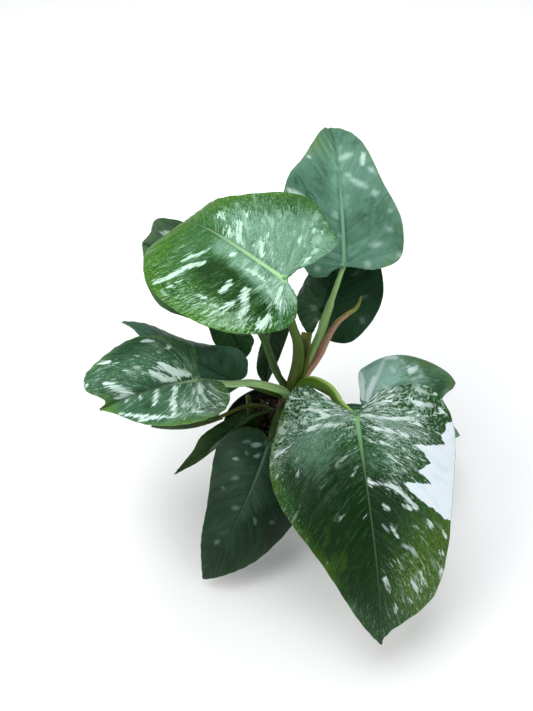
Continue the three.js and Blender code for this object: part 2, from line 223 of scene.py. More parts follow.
leaves = {}
leaves["front"] = dict(
    joint=(67, -53, 192), length=214, heading=-82, climb=-33, bank=-2,
    left=((-4, 9), (-17, 26), (-15, 74), (25, 95), (94, 82), (174, 54), (201, 7)),
    right=((-3, 10), (-20, 29), (-27, 52), (26, 87), (70, 86), (130, 47), (184, 19)),
    arch=41, sway=2, twist=-1, fold=-10, curlLeft=8, curlRight=37, heel=-10,
    wave=6, wavePhase=91, via=((32, 0, 173), (49, -19, 181), (56, -35, 182)), start=146, thick=5.6,
    thin=3.4,
    grid=(210, 100), veinGap=17, veins=0.08, mottled=0.75, edgeYellow=0.15, midribWidth=(5.2, 1.7),
    midribRun=0.3, speckle=0.34,
    green=(38, 80, 34), deep=(13, 42, 12), yellow=(66, 98, 28), pale=(84, 126, 100), mark=(226, 242, 238),
    midrib=(128, 178, 118),
    speckleSpots=((-5, 0, 26, 0.6), (-8, -55, 34, 0.75), (-5, 45, 40, 0.9), (45, 50, 30, 0.35),
        (30, -86, 28, 0.7), (90, -76, 26, 0.5), (155, 30, 40, 0.6), (64, 22, 18, 0.7), (185, -20, 24, 0.3)),
    darkSpots=((70, -35, 42, 0.9), (120, -20, 40, 0.8), (75, 14, 24, 0.7), (40, -50, 26, 0.5),
        (170, -8, 30, 0.6)),
    yellowSpots=((135, 70, 45, 0.9), (60, -92, 18, 0.6), (104, -72, 18, 0.4), (125, -36, 20, 0.4),
        (150, -50, 20, 0.25), (-8, -78, 18, 0.7), (20, -98, 20, 0.8), (165, 45, 30, 0.9)),
    paleSpots=((26, -46, 30, 0.75), (2, 32, 36, 0.45), (40, 24, 24, 0.4), (-8, -30, 24, 0.5),
        (176, -26, 16, 0.5)),
    streaks=((3.5, (-1, -24), (-4, -31), (-9, -41)), (2.5, (1, -27), (4, -54)),
        (2.6, (9, -10), (7, -32), (10, -54)), (5, (24, -71), (28, -81)), (2, (13, -69), (18, -77)),
        (2, (-8, -18), (-17, -27)), (2, (45, -57), (49, -61)), (1.4, (86, -4), (90, -7)),
        (3.5, (3, 4), (8, 33), (12, 53), (18, 61)), (3, (15, 15), (20, 30), (25, 45)),
        (2.4, (40, 24), (45, 29)), (2, (-6, 20), (-7, 35)), (2, (26, 17), (29, 20)),
        (2.5, (3, 80), (10, 87)), (4.5, (60, 8), (67, 25), (81, 38), (92, 45)), (2.8, (83, 31), (92, 45)),
        (3, (57, 2), (62, 4)), (2, (80, 12), (86, 17)), (2.8, (102, 52), (110, 57)),
        (2.6, (98, 17), (110, 21)), (3, (143, 6), (157, 10)), (3.4, (150, 30), (164, 36)),
        (2, (147, 41), (160, 43)), (2, (131, 58), (139, 65)), (2, (144, 59), (158, 63)),
        (2, (171, 14), (181, 15)), (2, (169, 27), (175, 30)), (1.8, (116, 68), (122, 70))),
    faint=((1.6, (33, -10), (43, -23)), (1.6, (45, -6), (53, -11)), (1.6, (84, -22), (90, -31)),
        (5, (-2, 58), (1, 77)), (3, (117, 24), (123, 33), (133, 39)), (1.6, (96, 9), (104, 14)),
        (1.6, (102, 37), (107, 43)), (1.6, (132, 20), (140, 23)), (4, (-14, 60), (-12, 70))),
    sector=((16, 95), (19, 85), (25, 85), (29, 79), (37, 82), (36, 65), (33, 50), (41, 58), (52, 64),
        (55, 55), (57, 50), (65, 58), (72, 63), (68, 50), (64, 33), (74, 41), (86, 51), (93, 60), (106, 71),
        (113, 90), (60, 112), (20, 112)))

leaves["low_front"] = dict(
    joint=(-9, -40, 128), length=162, heading=-113, climb=-37, bank=10,
    left=((-6, 4), (-12, 13), (-8, 35), (38, 62), (98, 41), (132, 19)),
    right=((-5, 3), (-10, 12), (-4, 33), (28, 49), (86, 32), (125, 20)),
    arch=33, archPower=1.3, sway=-19, twist=9, fold=10, curlLeft=70, curlRight=31,
    wave=8, wavePhase=-10, via=((1, -12, 137),), start=128, thick=3.4, thin=2.6,
    grid=(150, 72), veinGap=14, veins=0.1, mottled=0.3, blotch=1.0, torn=0.5, softness=1.6,
    midribWidth=(3.2, 1.2), midribRun=0.7,
    green=(36, 64, 46), deep=(20, 42, 24), yellow=(52, 78, 40), pale=(58, 86, 68), mark=(150, 188, 174),
    midrib=(88, 124, 96),
    speckleSpots=((5, 0, 22, 0.3),), darkSpots=((70, 34, 32, 0.7), (125, 6, 24, 0.4), (24, 30, 20, 0.4)),
    yellowSpots=((-5, 5, 14, 0.6),),
    paleSpots=((30, -22, 25, 0.6), (62, -4, 16, 0.5), (95, -8, 16, 0.4), (50, 12, 12, 0.3)),
    streaks=((4.5, (3, -7), (6, -14)), (3, (13, -4), (15, -8)), (3.5, (24, -23), (25, -27))),
    faint=((3, (41, -17), (45, -21)), (3, (68, -5), (71, -9)), (3, (109, -7), (113, -9)),
        (2.5, (3, -17), (6, -23)), (2.5, (67, 30), (67, 33)), (2, (70, 14), (74, 17)),
        (2.5, (58, -27), (58, -25)), (2.5, (14, -18), (16, -16))))

leaves["left_front"] = dict(
    joint=(-71, -25, 203), length=95, heading=-166, climb=3, bank=29,
    left=((-9, 2), (-20, 10), (-17, 36), (6, 71), (41, 49), (73, 16)),
    right=((-2, 5), (0, 12), (2, 31), (50, 64), (84, 48), (99, 28), (84, 6)),
    arch=38, archPower=1.3, sway=12, twist=-7, fold=35, curlLeft=-27, curlRight=107, heel=15,
    wave=11, wavePhase=-69, via=((2, -4, 167), (-25, -11, 184), (-42, -19, 191)), start=142, thick=5,
    thin=2.4, grid=(160, 84), veinGap=12, mottled=0.45, blotch=0.8, midribWidth=(3.6, 1.0), speckle=0.25,
    green=(58, 98, 68), deep=(28, 62, 32), yellow=(84, 124, 46), pale=(108, 154, 126), mark=(224, 244, 236),
    midrib=(146, 182, 140),
    speckleSpots=((0, 35, 26, 0.9), (40, -25, 35, 0.3), (10, -15, 20, 0.3), (80, -25, 25, 0.3)),
    darkSpots=((44, 22, 5, 0.6), (48, 12, 8, 0.4), (28, -58, 30, 0.9), (60, -54, 24, 0.5),
        (-2, -34, 18, 0.5)),
    yellowSpots=((20, 65, 20, 0.5), (85, 5, 14, 0.5), (-15, 20, 10, 0.3)),
    paleSpots=((40, -22, 26, 0.3), (10, 40, 30, 0.5), (80, -10, 26, 0.15)),
    streaks=((7, (9, -6), (20, -12), (29, -20)), (6, (19, -4), (29, -7), (37, -16)),
        (5, (58, -2), (67, -10), (77, -19)), (3, (62, -1), (75, -4)), (4, (70, -38), (81, -42)),
        (3.5, (19, -34), (21, -34)), (2, (92, -26), (94, -23)), (6, (0, 6), (1, 20)),
        (1.6, (4, 23), (6, 30)), (1.6, (3, 24), (4, 34)), (1.6, (-1, 23), (-1, 29)),
        (4.5, (36, 3), (40, 21)), (5, (21, 3), (24, 18), (23, 32), (25, 46)),
        (4, (25, 47), (39, 39), (51, 36)), (2.5, (70, 17), (55, 27), (41, 36)), (3, (19, 44), (24, 49)),
        (2, (64, 3), (65, 5)), (2, (52, 4), (51, 8)), (2, (16, 30), (17, 35)), (2, (12, 29), (14, 35)),
        (2, (8, 49), (2, 52)), (2, (-8, 8), (-12, 21)), (2.5, (-7, 39), (-6, 48)), (1.6, (5, 11), (7, 18))),
    faint=((2, (44, -21), (51, -25)), (2, (50, -17), (57, -22)), (3, (30, -45), (40, -50))))

leaves["left_rear"] = dict(
    joint=(-40, 20, 152), length=146, heading=167, climb=19, bank=7,
    left=((-3, 3), (-2, 9), (12, 26), (42, 38), (81, 25), (113, 9)),
    right=((-6, 8), (-6, 20), (0, 37), (28, 53), (79, 41), (120, 25)),
    arch=27, archPower=2, sway=-32, twist=30, fold=8, curlLeft=22, curlRight=57, heel=15,
    wave=8, waves=2, wavePhase=-34, via=((-16, 10, 151),), start=138, thick=3, thin=2.2,
    grid=(140, 60), veinGap=12, veins=0.3, mottled=0.1, blotch=1.0, softness=1.6, midribWidth=(2.4, 0.7),
    speckle=0.0,
    green=(74, 118, 92), deep=(46, 80, 58), yellow=(68, 100, 50), pale=(60, 92, 74), mark=(140, 176, 156),
    midrib=(62, 96, 70),
    speckleSpots=((100, -20, 30, 0.05),), darkSpots=((40, 10, 40, 0.4), (125, 0, 40, 1.0)),
    yellowSpots=((0, 0, 14, 0.5),), paleSpots=((40, -10, 20, 0.1),),
    faint=((2, (60, -20), (64, -24)), (2, (95, -12), (99, -18))))

leaves["upper_left"] = dict(
    joint=(4, -1, 296), length=162, heading=147, climb=16, bank=2,
    left=((-7, 3), (-20, 12), (-28, 38), (7, 76), (72, 74), (128, 45), (157, 20)),
    right=((-2, 8), (0, 15), (-8, 34), (-8, 77), (43, 90), (103, 49), (152, 29)),
    arch=74, archPower=1.7, sway=-26, twist=-18, fold=-1, curlLeft=5, curlRight=-1, heel=5,
    wave=4, waves=3, wavePhase=-64, via=((20, 16, 186), (18.5, 15, 211), (13, 14, 231)), start=152,
    thick=5.6, thin=2.8,
    grid=(200, 96), veinGap=15, veinTurn=((105, 0.4), (80, 1)), veins=0.2, mottled=0.8, bands=0.7,
    gloss=0.06, midribWidth=(5.0, 1.6), midribRun=0.7, speckle=0.26,
    green=(54, 98, 48), deep=(14, 54, 4), yellow=(64, 106, 32), pale=(110, 154, 126), mark=(206, 236, 216),
    midrib=(172, 220, 158),
    speckleSpots=((-8, 56, 30, 0.5), (45, 72, 28, 0.4), (92, 58, 30, 0.3), (-4, 12, 22, 0.55),
        (14, 62, 24, 0.5), (100, -30, 40, 0.15), (80, -60, 40, 0.15), (30, -84, 30, 0.2)),
    darkSpots=((56, 32, 12, 0.5), (44, 33, 13, 0.7), (28, 37, 16, 1.0), (12, 38, 14, 1.0),
        (-2, 40, 11, 0.8)),
    yellowSpots=((150, 0, 46, 0.8), (62, -90, 30, 0.35), (110, 55, 34, 0.7), (118, -44, 30, 0.5),
        (20, 78, 36, 0.55), (70, 76, 24, 0.4)),
    paleSpots=((-2, -36, 42, 1.0), (44, -28, 34, 0.75), (20, -66, 26, 0.5), (14, 62, 14, 0.3),
        (56, 6, 10, 0.9), (36, 8, 10, 1.0), (20, 9, 9, 1.0), (5, 12, 12, 0.9), (-14, 18, 12, 0.6),
        (84, -24, 20, 0.5), (62, 34, 9, 0.4), (84, 30, 14, 0.3)),
    streaks=((2.5, (64, 19), (70, 33), (72, 40)), (5, (57, 30), (64, 42), (67, 56), (73, 67)),
        (2.5, (55, 53), (59, 59)), (4.5, (27, 33), (26, 46)), (6, (14, 30), (11, 41)),
        (4.5, (15, 46), (15, 58)), (4, (6, 42), (4, 57)), (7, (-12, 40), (-12, 56)),
        (3.5, (-3, 9), (-6, 18), (-13, 29)), (3.5, (30, 16), (24, 12), (12, 13)), (2.5, (46, 12), (45, 8)),
        (3, (36, 59), (31, 57)), (3, (62, 64), (58, 63)), (3.2, (73, -14), (62, -4)),
        (5, (71, -23), (50, -4)), (2.6, (76, -12), (64, -2)), (3, (94, -23), (84, -16)),
        (2, (76, -23), (72, -19)), (2.5, (45, -17), (40, -11)), (2.8, (41, -20), (28, -7)),
        (3, (43, -29), (33, -18)), (3, (19, -52), (16, -43)), (3, (16, -70), (14, -63)),
        (2.6, (-2, -35), (-2, -26)), (2.5, (11, -76), (7, -69)), (2, (101, -22), (92, -16)),
        (2, (75, -38), (71, -31))),
    faint=((3, (-1, -50), (-1, -41)), (1.6, (25, -17), (14, -4)), (2, (13, -16), (10, -11)),
        (3, (9, 15), (-2, 22)), (2.5, (26, 61), (18, 58)), (2, (-4, 22), (-8, 36)),
        (2.5, (62, 71), (54, 72)), (2.5, (0, 68), (0, 59))))

leaves["behind_upper"] = dict(
    joint=(-38, 81, 208), length=141, heading=148, climb=20, bank=27,
    left=((-14, 5), (-26, 17), (-22, 41), (38, 62), (84, 45), (114, 18)),
    right=((-16, 4), (-31, 16), (-28, 38), (41, 55), (94, 45), (118, 17)),
    arch=38, sway=11, twist=-28, fold=34, curlLeft=0, curlRight=-28,
    wave=5, wavePhase=-27, via=((0, 20, 163), (-16, 50, 188)), start=147, thick=3.7, thin=2.5,
    grid=(150, 72), veinGap=14, veins=0.2, mottled=0.1, blotch=1.2, softness=1.6, midribWidth=(2.8, 0.8),
    speckle=0.0,
    green=(52, 84, 64), deep=(36, 70, 38), yellow=(74, 108, 50), pale=(84, 126, 92), mark=(196, 220, 204),
    midrib=(120, 160, 120),
    speckleSpots=((60, 0, 60, 0.2),), yellowSpots=((100, 0, 40, 0.3),), paleSpots=((90, 0, 50, 0.5),),
    streaks=((4.5, (84, -30), (99, -24)),),
    faint=((3, (60, -30), (70, -40)), (3, (40, 20), (50, 34)), (3, (90, 10), (100, 18))))

leaves["top"] = dict(
    joint=(64, 77, 253), length=178, heading=90, climb=36, bank=22,
    left=((-4, 14), (-9, 18), (-2, 37), (46, 58), (87, 52), (119, 32)),
    right=((-3, 9), (-8, 31), (0, 54), (28, 57), (75, 42), (130, 27)),
    arch=59, archPower=3.3, sway=8, twist=32, fold=16, curlLeft=19, curlRight=11, heel=20,
    wave=-8, wavePhase=-24, via=((27, 21, 171), (41, 39, 194), (48, 51, 213)), start=148, thick=6, thin=2.8,
    grid=(190, 84), veinGap=15, veins=0.18, mottled=0.25, blotch=1.6, torn=0.5, softness=2.2,
    midribWidth=(4.2, 1.4), midribRun=0.9, speckle=0.0,
    green=(82, 124, 104), deep=(26, 62, 36), yellow=(92, 126, 74), pale=(106, 154, 130),
    mark=(190, 218, 206), midrib=(128, 176, 140),
    speckleSpots=((80, 0, 60, 0.12),),
    darkSpots=((98, 10, 12, 0.5), (135, -20, 16, 0.4), (50, -22, 26, 0.35), (80, 30, 22, 0.3),
        (24, 14, 12, 0.3)),
    yellowSpots=((132, 22, 26, 0.6), (60, 56, 20, 0.3)),
    paleSpots=((10, 0, 34, 0.4), (100, -20, 40, 0.3), (60, 0, 12, 0.5), (88, 2, 12, 0.6),
        (116, 2, 14, 0.7)),
    streaks=((5, (78, 51), (71, 37)), (3, (115, 31), (112, 28)), (4.5, (115, -26), (101, -24))),
    faint=((6, (87, -11), (74, -25)), (7, (113, -2), (116, -14)), (5, (54, 8), (49, 6)),
        (5, (68, -32), (63, -33)), (4.5, (44, -45), (42, -47)), (5, (15, -28), (16, -36)),
        (5, (-1, -22), (-4, -26)), (5, (0, 27), (-3, 24)), (3.5, (31, 4), (29, 3)), (4, (3, -53), (0, -54)),
        (4, (94, -7), (90, -11)), (4, (28, -43), (25, -47)), (5, (105, 2), (101, 1)),
        (5, (96, -30), (90, -34)), (5, (60, 30), (66, 34))))

leaves["rear_right"] = dict(
    joint=(47, 77, 198), length=107, heading=66, climb=42, bank=3,
    left=((-14, 1), (-28, 6), (-14, 22), (11, 34), (56, 25), (88, 8)),
    right=((-14, 1), (-27, 7), (-20, 42), (24, 57), (63, 41), (90, 15)),
    arch=34, sway=7, twist=-9, fold=10, curlLeft=38, curlRight=7, heel=22,
    wave=6, waves=3, wavePhase=-59, via=((25, 26, 152), (38, 47, 166), (46, 66, 179)), start=140, thick=3,
    thin=2.2,
    grid=(140, 66), veinGap=12, blotch=1.2, torn=0.5, softness=1.8, midribWidth=(2.4, 0.7), speckle=0.0,
    green=(44, 78, 52), deep=(20, 46, 24), yellow=(30, 54, 20), pale=(66, 100, 70), mark=(134, 158, 148),
    midrib=(40, 70, 36), speckleSpots=((0, -20, 30, 0.3),), darkSpots=((40, 0, 40, 0.4),),
    paleSpots=((8, 10, 18, 0.7), (-16, 4, 14, 0.5)),
    faint=((7, (-1, 7), (0, 12)), (6, (-13, -1), (-11, 4)), (6, (-1, -46), (1, -42)),
        (3, (20, -36), (24, -42)), (2, (40, -20), (44, -26))))

leaves["right"] = dict(
    joint=(91, 11, 124), length=140, heading=-8, climb=-13, bank=9,
    left=((-4, 5), (-4, 19), (-3, 53), (38, 70), (123, 58), (104, 32)),
    right=((-9, 3), (-20, 3), (-22, 16), (19, 40), (72, 30), (110, 12)),
    arch=38, archPower=1.4, sway=26, twist=14, fold=-4, curlLeft=-53, curlRight=16, heel=21,
    wave=-7, waves=2, wavePhase=163, via=((52, 4, 129), (76, 9, 118)), start=136, thick=3, thin=2.2,
    grid=(160, 80), veinGap=14, veins=0.1, mottled=0.4, blotch=1.9, torn=0.6, softness=1.5,
    midribWidth=(2.8, 0.8), speckle=0.0,
    green=(96, 142, 110), deep=(44, 86, 52), yellow=(84, 118, 68), pale=(158, 202, 186),
    mark=(236, 250, 250), midrib=(140, 176, 146),
    speckleSpots=((30, 55, 40, 0.35), (0, 30, 20, 0.3)),
    darkSpots=((102, 44, 16, 0.9), (80, 20, 20, 0.5), (-12, -8, 9, 1.0), (34, 38, 14, 0.5),
        (70, 60, 12, 0.4)),
    yellowSpots=((60, 72, 26, 0.5), (120, 60, 20, 0.5)),
    paleSpots=((4, 40, 26, 1.0), (30, 62, 22, 0.8), (52, 56, 20, 0.4)),
    streaks=((8, (-4, 46), (-3, 29), (-1, 10)), (7, (13, 44), (8, 28), (4, 10)), (5, (61, 61), (52, 52)),
        (4, (49, 59), (56, 55)), (4, (20, 66), (34, 67))),
    faint=((5, (20, 64), (17, 51), (14, 36)), (3, (72, 52), (66, 52)), (4, (21, 66), (33, 66)),
        (3.5, (29, 57), (35, 52)), (3, (39, 65), (43, 62)), (3, (21, 36), (28, 33)),
        (2.5, (56, 46), (64, 50))))

leaves["hanging"] = dict(
    joint=(-55, 99, 162), length=56, heading=-31, climb=-69, bank=-15,
    left=((-11, 3), (-11, 15), (41, 21), (51, 12)), right=((-12, 8), (-17, 22), (16, 23), (37, 9)),
    arch=7, sway=14, twist=14, fold=11, curlLeft=38, curlRight=15, heel=20,
    wave=2, wavePhase=-43, via=((-5, 45, 163), (-17, 76, 169)), start=138,
    green=(40, 84, 36), deep=(26, 58, 22), yellow=(50, 84, 34), pale=(44, 70, 40), mark=(110, 150, 110),
    midrib=(44, 76, 40))

leaves["inner"] = dict(
    joint=(-2, 106, 156), length=81, heading=-111, climb=-65, bank=13,
    left=((-5, 3), (-2, 18), (34, 14), (57, 8)), right=((-4, 3), (8, 6), (42, 14), (65, 11)),
    arch=2, archPower=1.5, sway=4, twist=9, fold=8, curlLeft=6, curlRight=35,
    wave=4, wavePhase=1, via=((3, 34, 146), (-9, 72, 155)), start=134,
    green=(30, 54, 30), deep=(20, 42, 20), yellow=(42, 66, 28), pale=(48, 74, 46), mark=(110, 150, 110),
    midrib=(48, 78, 44))

leaves["narrow"] = dict(
    joint=(-34, -8, 123), length=88, heading=-146, climb=-20, bank=16,
    left=((-6, 2), (-6, 5), (28, 6), (60, 5)), right=((-6, 2), (-4, 10), (42, 14), (62, 7)),
    arch=8, archPower=1.5, sway=-4, twist=-1, fold=2, curlLeft=5, curlRight=15,
    wave=-4, wavePhase=10, via=((-13, -1, 128),), start=122, grid=(90, 36),
    green=(38, 64, 32), deep=(26, 46, 16), yellow=(52, 78, 26), pale=(50, 76, 40), mark=(122, 140, 130),
    midrib=(70, 100, 50),
    streaks=((4, (44, 3), (16, 2)),))

leaves["old"] = dict(
    joint=(-64, -7, 125), length=75, heading=-177, climb=-23, bank=15,
    left=((-7, 2), (-8, 4), (22, 5), (50, 3)), right=((-7, 3), (-8, 16), (20, 23), (50, 13)),
    arch=0, archPower=1.4, sway=-22, twist=-9, fold=10, curlLeft=-8, curlRight=15,
    wave=0, wavePhase=33, via=((-24, 8, 128),), start=118, grid=(80, 36),
    green=(52, 76, 58), deep=(36, 58, 40), yellow=(96, 104, 44), pale=(70, 96, 80), mark=(150, 180, 150),
    midrib=(86, 110, 70), yellowSpots=((10, -6, 14, 0.6),), paleSpots=((45, -8, 20, 0.4),))
for leafName, leaf in leaves.items():
    leaves[leafName] = {**plainLeaf, **leaf}


def turned(vector, axis, angle):
    return np.array(Matrix.Rotation(angle, 3, Vector(axis)) @ Vector(vector))


# The midrib as frames one after another: distance, place, along, across, face
def midribFrames(leaf, forward=24, backward=6):
    heading, climb, bank, arch, sway, twist, heel = (
        math.radians(leaf[key]) for key in ("heading", "climb", "bank", "arch", "sway", "twist", "heel"))
    ahead, upright = np.array((math.cos(heading), math.sin(heading), 0)), np.array((0, 0, 1))
    along = ahead * math.cos(climb) + upright * math.sin(climb)
    face = turned(upright * math.cos(climb) - ahead * math.sin(climb), along, -bank)
    across = np.cross(face, along)
    place = np.array(leaf["joint"], float)
    frames = [(0, place, along, across, face)]
    for i in range(1, forward + 1):
        bend = arch * ((i / forward) ** leaf["archPower"] - ((i - 1) / forward) ** leaf["archPower"])
        place = place + along * leaf["length"] / forward
        along, face = turned(along, across, bend), turned(face, across, bend)
        along = turned(along, face, sway / forward)
        face = turned(face, along, twist / forward)
        across = np.cross(face, along)
        frames.append((leaf["length"] * i / forward, place, along, across, face))
    lobe = max(15, max(-x for x, y in leaf["left"] + leaf["right"]))
    _, place, along, across, face = frames[0]
    for i in range(1, backward + 1):
        place = place - along * lobe / backward
        along, face = turned(along, across, -heel / backward), turned(face, across, -heel / backward)
        frames.insert(0, (-lobe * i / backward, place, along, across, face))
    return [np.array([entry[k] for entry in frames]) for k in range(5)]


def splineThrough(points, share):
    points = np.array(points, float)
    last = len(points) - 1
    t = np.clip(share, 0, 1) * last
    i = np.minimum(t.astype(int), last - 1)
    w = (t - i)[..., None]
    before, start = points[np.maximum(i - 1, 0)], points[i]
    end, after = points[i + 1], points[np.minimum(i + 2, last)]
    leaving, arriving = (end - before) / 2, (after - start) / 2
    return ((2 * start - 2 * end + leaving + arriving) * w ** 3
            + (-3 * start + 3 * end - 2 * leaving - arriving) * w ** 2 + leaving * w + start)


# Where a row and a column lie on the flat leaf, in mm from the joint, and how far inside its edge
def flatPlace(leaf, row, column):
    halves = [splineThrough(((0, 0), *leaf[half], (leaf["length"], 0)), row) for half in ("left", "right")]
    edge = np.where((column >= 0)[..., None], *halves)
    edgeX, edgeY = edge[..., 0], edge[..., 1]
    forward = np.maximum(0, (row - bladeForm["forwardRow"]) / (1 - bladeForm["forwardRow"]))
    root = leaf["length"] * forward ** bladeForm["rootPower"]
    bowX, bowY = bladeForm["bow"]
    share = np.abs(column)
    bow = 2 * share * (1 - share)
    x = (1 - share) ** 2 * root + bow * (root + bowX * (edgeX - root)) + share ** 2 * edgeX
    y = bow * bowY * edgeY + share ** 2 * edgeY
    return x, y, (np.hypot(edgeX - root, edgeY) + 1e-6) * (1 - share)


# Where a flat point lies in space, lifted off the middle of the blade
def spacePlace(leaf, row, column, x, y, lift):
    at, place, along, across, face = leaf["frames"]
    i = np.clip(np.searchsorted(at, x) - 1, 0, len(at) - 2)
    h = (at[i + 1] - at[i])[..., None]
    w = np.clip((x - at[i])[..., None] / h, 0, 1)
    middle = ((1 + 2 * w) * (1 - w) ** 2 * place[i] + w * (1 - w) ** 2 * h * along[i]
              + w * w * (3 - 2 * w) * place[i + 1] + w * w * (w - 1) * h * along[i + 1])
    side, up = ((1 - w) * way[i] + w * way[i + 1] for way in (across, face))
    side, up = (way / np.linalg.norm(way, axis=-1, keepdims=True) for way in (side, up))
    left = column >= 0
    sign = np.where(left, 1.0, -1.0)
    widest = np.where(left, *(max(y for x, y in leaf[half]) for half in ("left", "right")))
    curl = np.where(left, *(math.radians(leaf[key]) or 1e-6 for key in ("curlLeft", "curlRight"))) / widest
    fold = math.radians(leaf["fold"])
    tilt = fold - curl * y
    sideways = (math.sin(fold) - np.sin(tilt)) / curl
    phase = 2 * math.pi * leaf["waves"] * row + math.radians(leaf["wavePhase"]) + np.where(left, 0, 2)
    rise = (np.cos(tilt) - math.cos(fold)) / curl + leaf["wave"] * (y / widest) ** 2 * np.sin(phase)
    lean = np.where(np.abs(column) < 1e-6, 0.0, tilt)  # the midrib itself faces straight up
    normal = up * np.cos(lean)[..., None] - side * (sign * np.sin(lean))[..., None]
    return middle + side * (sign * sideways)[..., None] + up * rise[..., None] + normal * lift[..., None]


def nearness(spots, x, y):
    total = np.zeros_like(x)
    for spotX, spotY, radius, amount in spots:
        total += amount * np.exp(-((x - spotX) ** 2 + (y - spotY) ** 2) / radius ** 2)
    return np.clip(total, 0, 1)


# How far along a segment the place nearest to a point is, and how far off the point lies
def offSegment(x, y, start, end):
    runX, runY = end[0] - start[0], end[1] - start[1]
    share = ((x - start[0]) * runX + (y - start[1]) * runY) / (runX ** 2 + runY ** 2 + 1e-6)
    share = np.clip(share, 0, 1)
    return share, np.hypot(x - start[0] - share * runX, y - start[1] - share * runY)


# How far inside the nearest streak a point is, in mm, less than nought outside
def streakDepth(streaks, x, y):
    depth = np.full_like(x, -9.0)
    for width, *points in streaks:
        for i, (start, end) in enumerate(zip(points, points[1:])):
            share, away = offSegment(x, y, start, end)
            # widest at its middle, narrow at both ends
            whole = np.clip(0.08 + 0.84 * (i + share) / (len(points) - 1), 0, 1)
            swell = 0.35 + 0.65 * np.sin(math.pi * whole) ** 0.8
            depth = np.maximum(depth, width / 2 * swell - away)
    return depth


def insideDepth(polygon, x, y):
    inside = np.zeros(x.shape, bool)
    away = np.full_like(x, 9.0)
    for start, end in zip(polygon, polygon[1:] + polygon[:1]):
        away = np.minimum(away, offSegment(x, y, start, end)[1])
        crosses = (start[1] > y) != (end[1] > y)
        cut = start[0] + (y - start[1]) * (end[0] - start[0]) / ((end[1] - start[1]) or 1e-9)
        inside ^= crosses & (x < cut)
    return np.where(inside, away, -away)


# Walks back along the vein from each point of one half to the midrib, or to the joint in
# the lobes. Gives where it starts, in mm along the midrib (less than nought round the
# joint), and how long the way is. Veins leave at a wide angle and bend to the tip.
def veinWalk(leaf, x, y, side):
    x, y = x.copy(), np.maximum(np.abs(y), 1e-3)
    (leanLeft, fallLeft), (leanRight, fallRight) = leaf["veinTurn"]
    leaving = np.radians(np.where(side > 0, leanLeft, leanRight))
    fall = np.where(side > 0, fallLeft, fallRight)
    way = np.zeros_like(x)
    for _ in range(bladeForm["veinSteps"]):
        angle = np.arctan2(y, x)
        lobe = np.clip((angle - 0.6) / 1.2, 0, 1)
        lobe = lobe * lobe * (3 - 2 * lobe)
        lean = leaving * np.clip(1 - fall * x / leaf["length"], 0.16, 1)
        lean = lean * (1 - 0.35 * np.clip(y / leaf["widest"], 0, 1))
        heading = lobe * angle + (1 - lobe) * lean
        walking = (y > 0.01) & (np.hypot(x, y) > 3)
        step = np.minimum(bladeForm["veinStep"], y / np.maximum(np.sin(heading), 0.05)) * walking
        x = x - step * np.cos(heading)
        y = np.maximum(y - step * np.sin(heading), 0)
        way += step
    onMidrib = (y <= 0.02) & (x > 0)
    return np.where(onMidrib, np.maximum(x - 3, 0), -30 * np.arctan2(y, x)), way


# The vein walk, and how many mm lie here between two veins that start 1 mm apart
def veinField(leaf, x, y, side, probe=0.6):
    source, way = veinWalk(leaf, x, y, side)
    slopeX = (veinWalk(leaf, x + probe, y, side)[0] - source) / probe
    slopeY = (veinWalk(leaf, x, np.abs(y) + probe, side)[0] - source) / probe
    spread = 1 / np.clip(np.hypot(slopeX, slopeY), 0.25, 8)
    return source + np.where(side > 0, 0, bladeForm["halfApart"]), way, spread


# What the leaf's material reads, as attributes of up to three values
def leafMarks(leaf, x, y, source, way, spread, toEdge):
    yellow, dark, pale, speckled = (
        nearness(leaf[key], x, y) for key in ("yellowSpots", "darkSpots", "paleSpots", "speckleSpots"))
    bright, faint = (streakDepth(leaf[key], x, y) for key in ("streaks", "faint"))
    values = {
        "flat": (x, y, leaf["speckle"] + speckled), "vein": (source, way, toEdge),
        "marks": (bright, faint, insideDepth(leaf["sector"], x, y)), "tone": (yellow, dark, pale),
        "spread": (spread, spread, spread),
    }
    return {key: np.stack(parts, -1) for key, parts in values.items()}


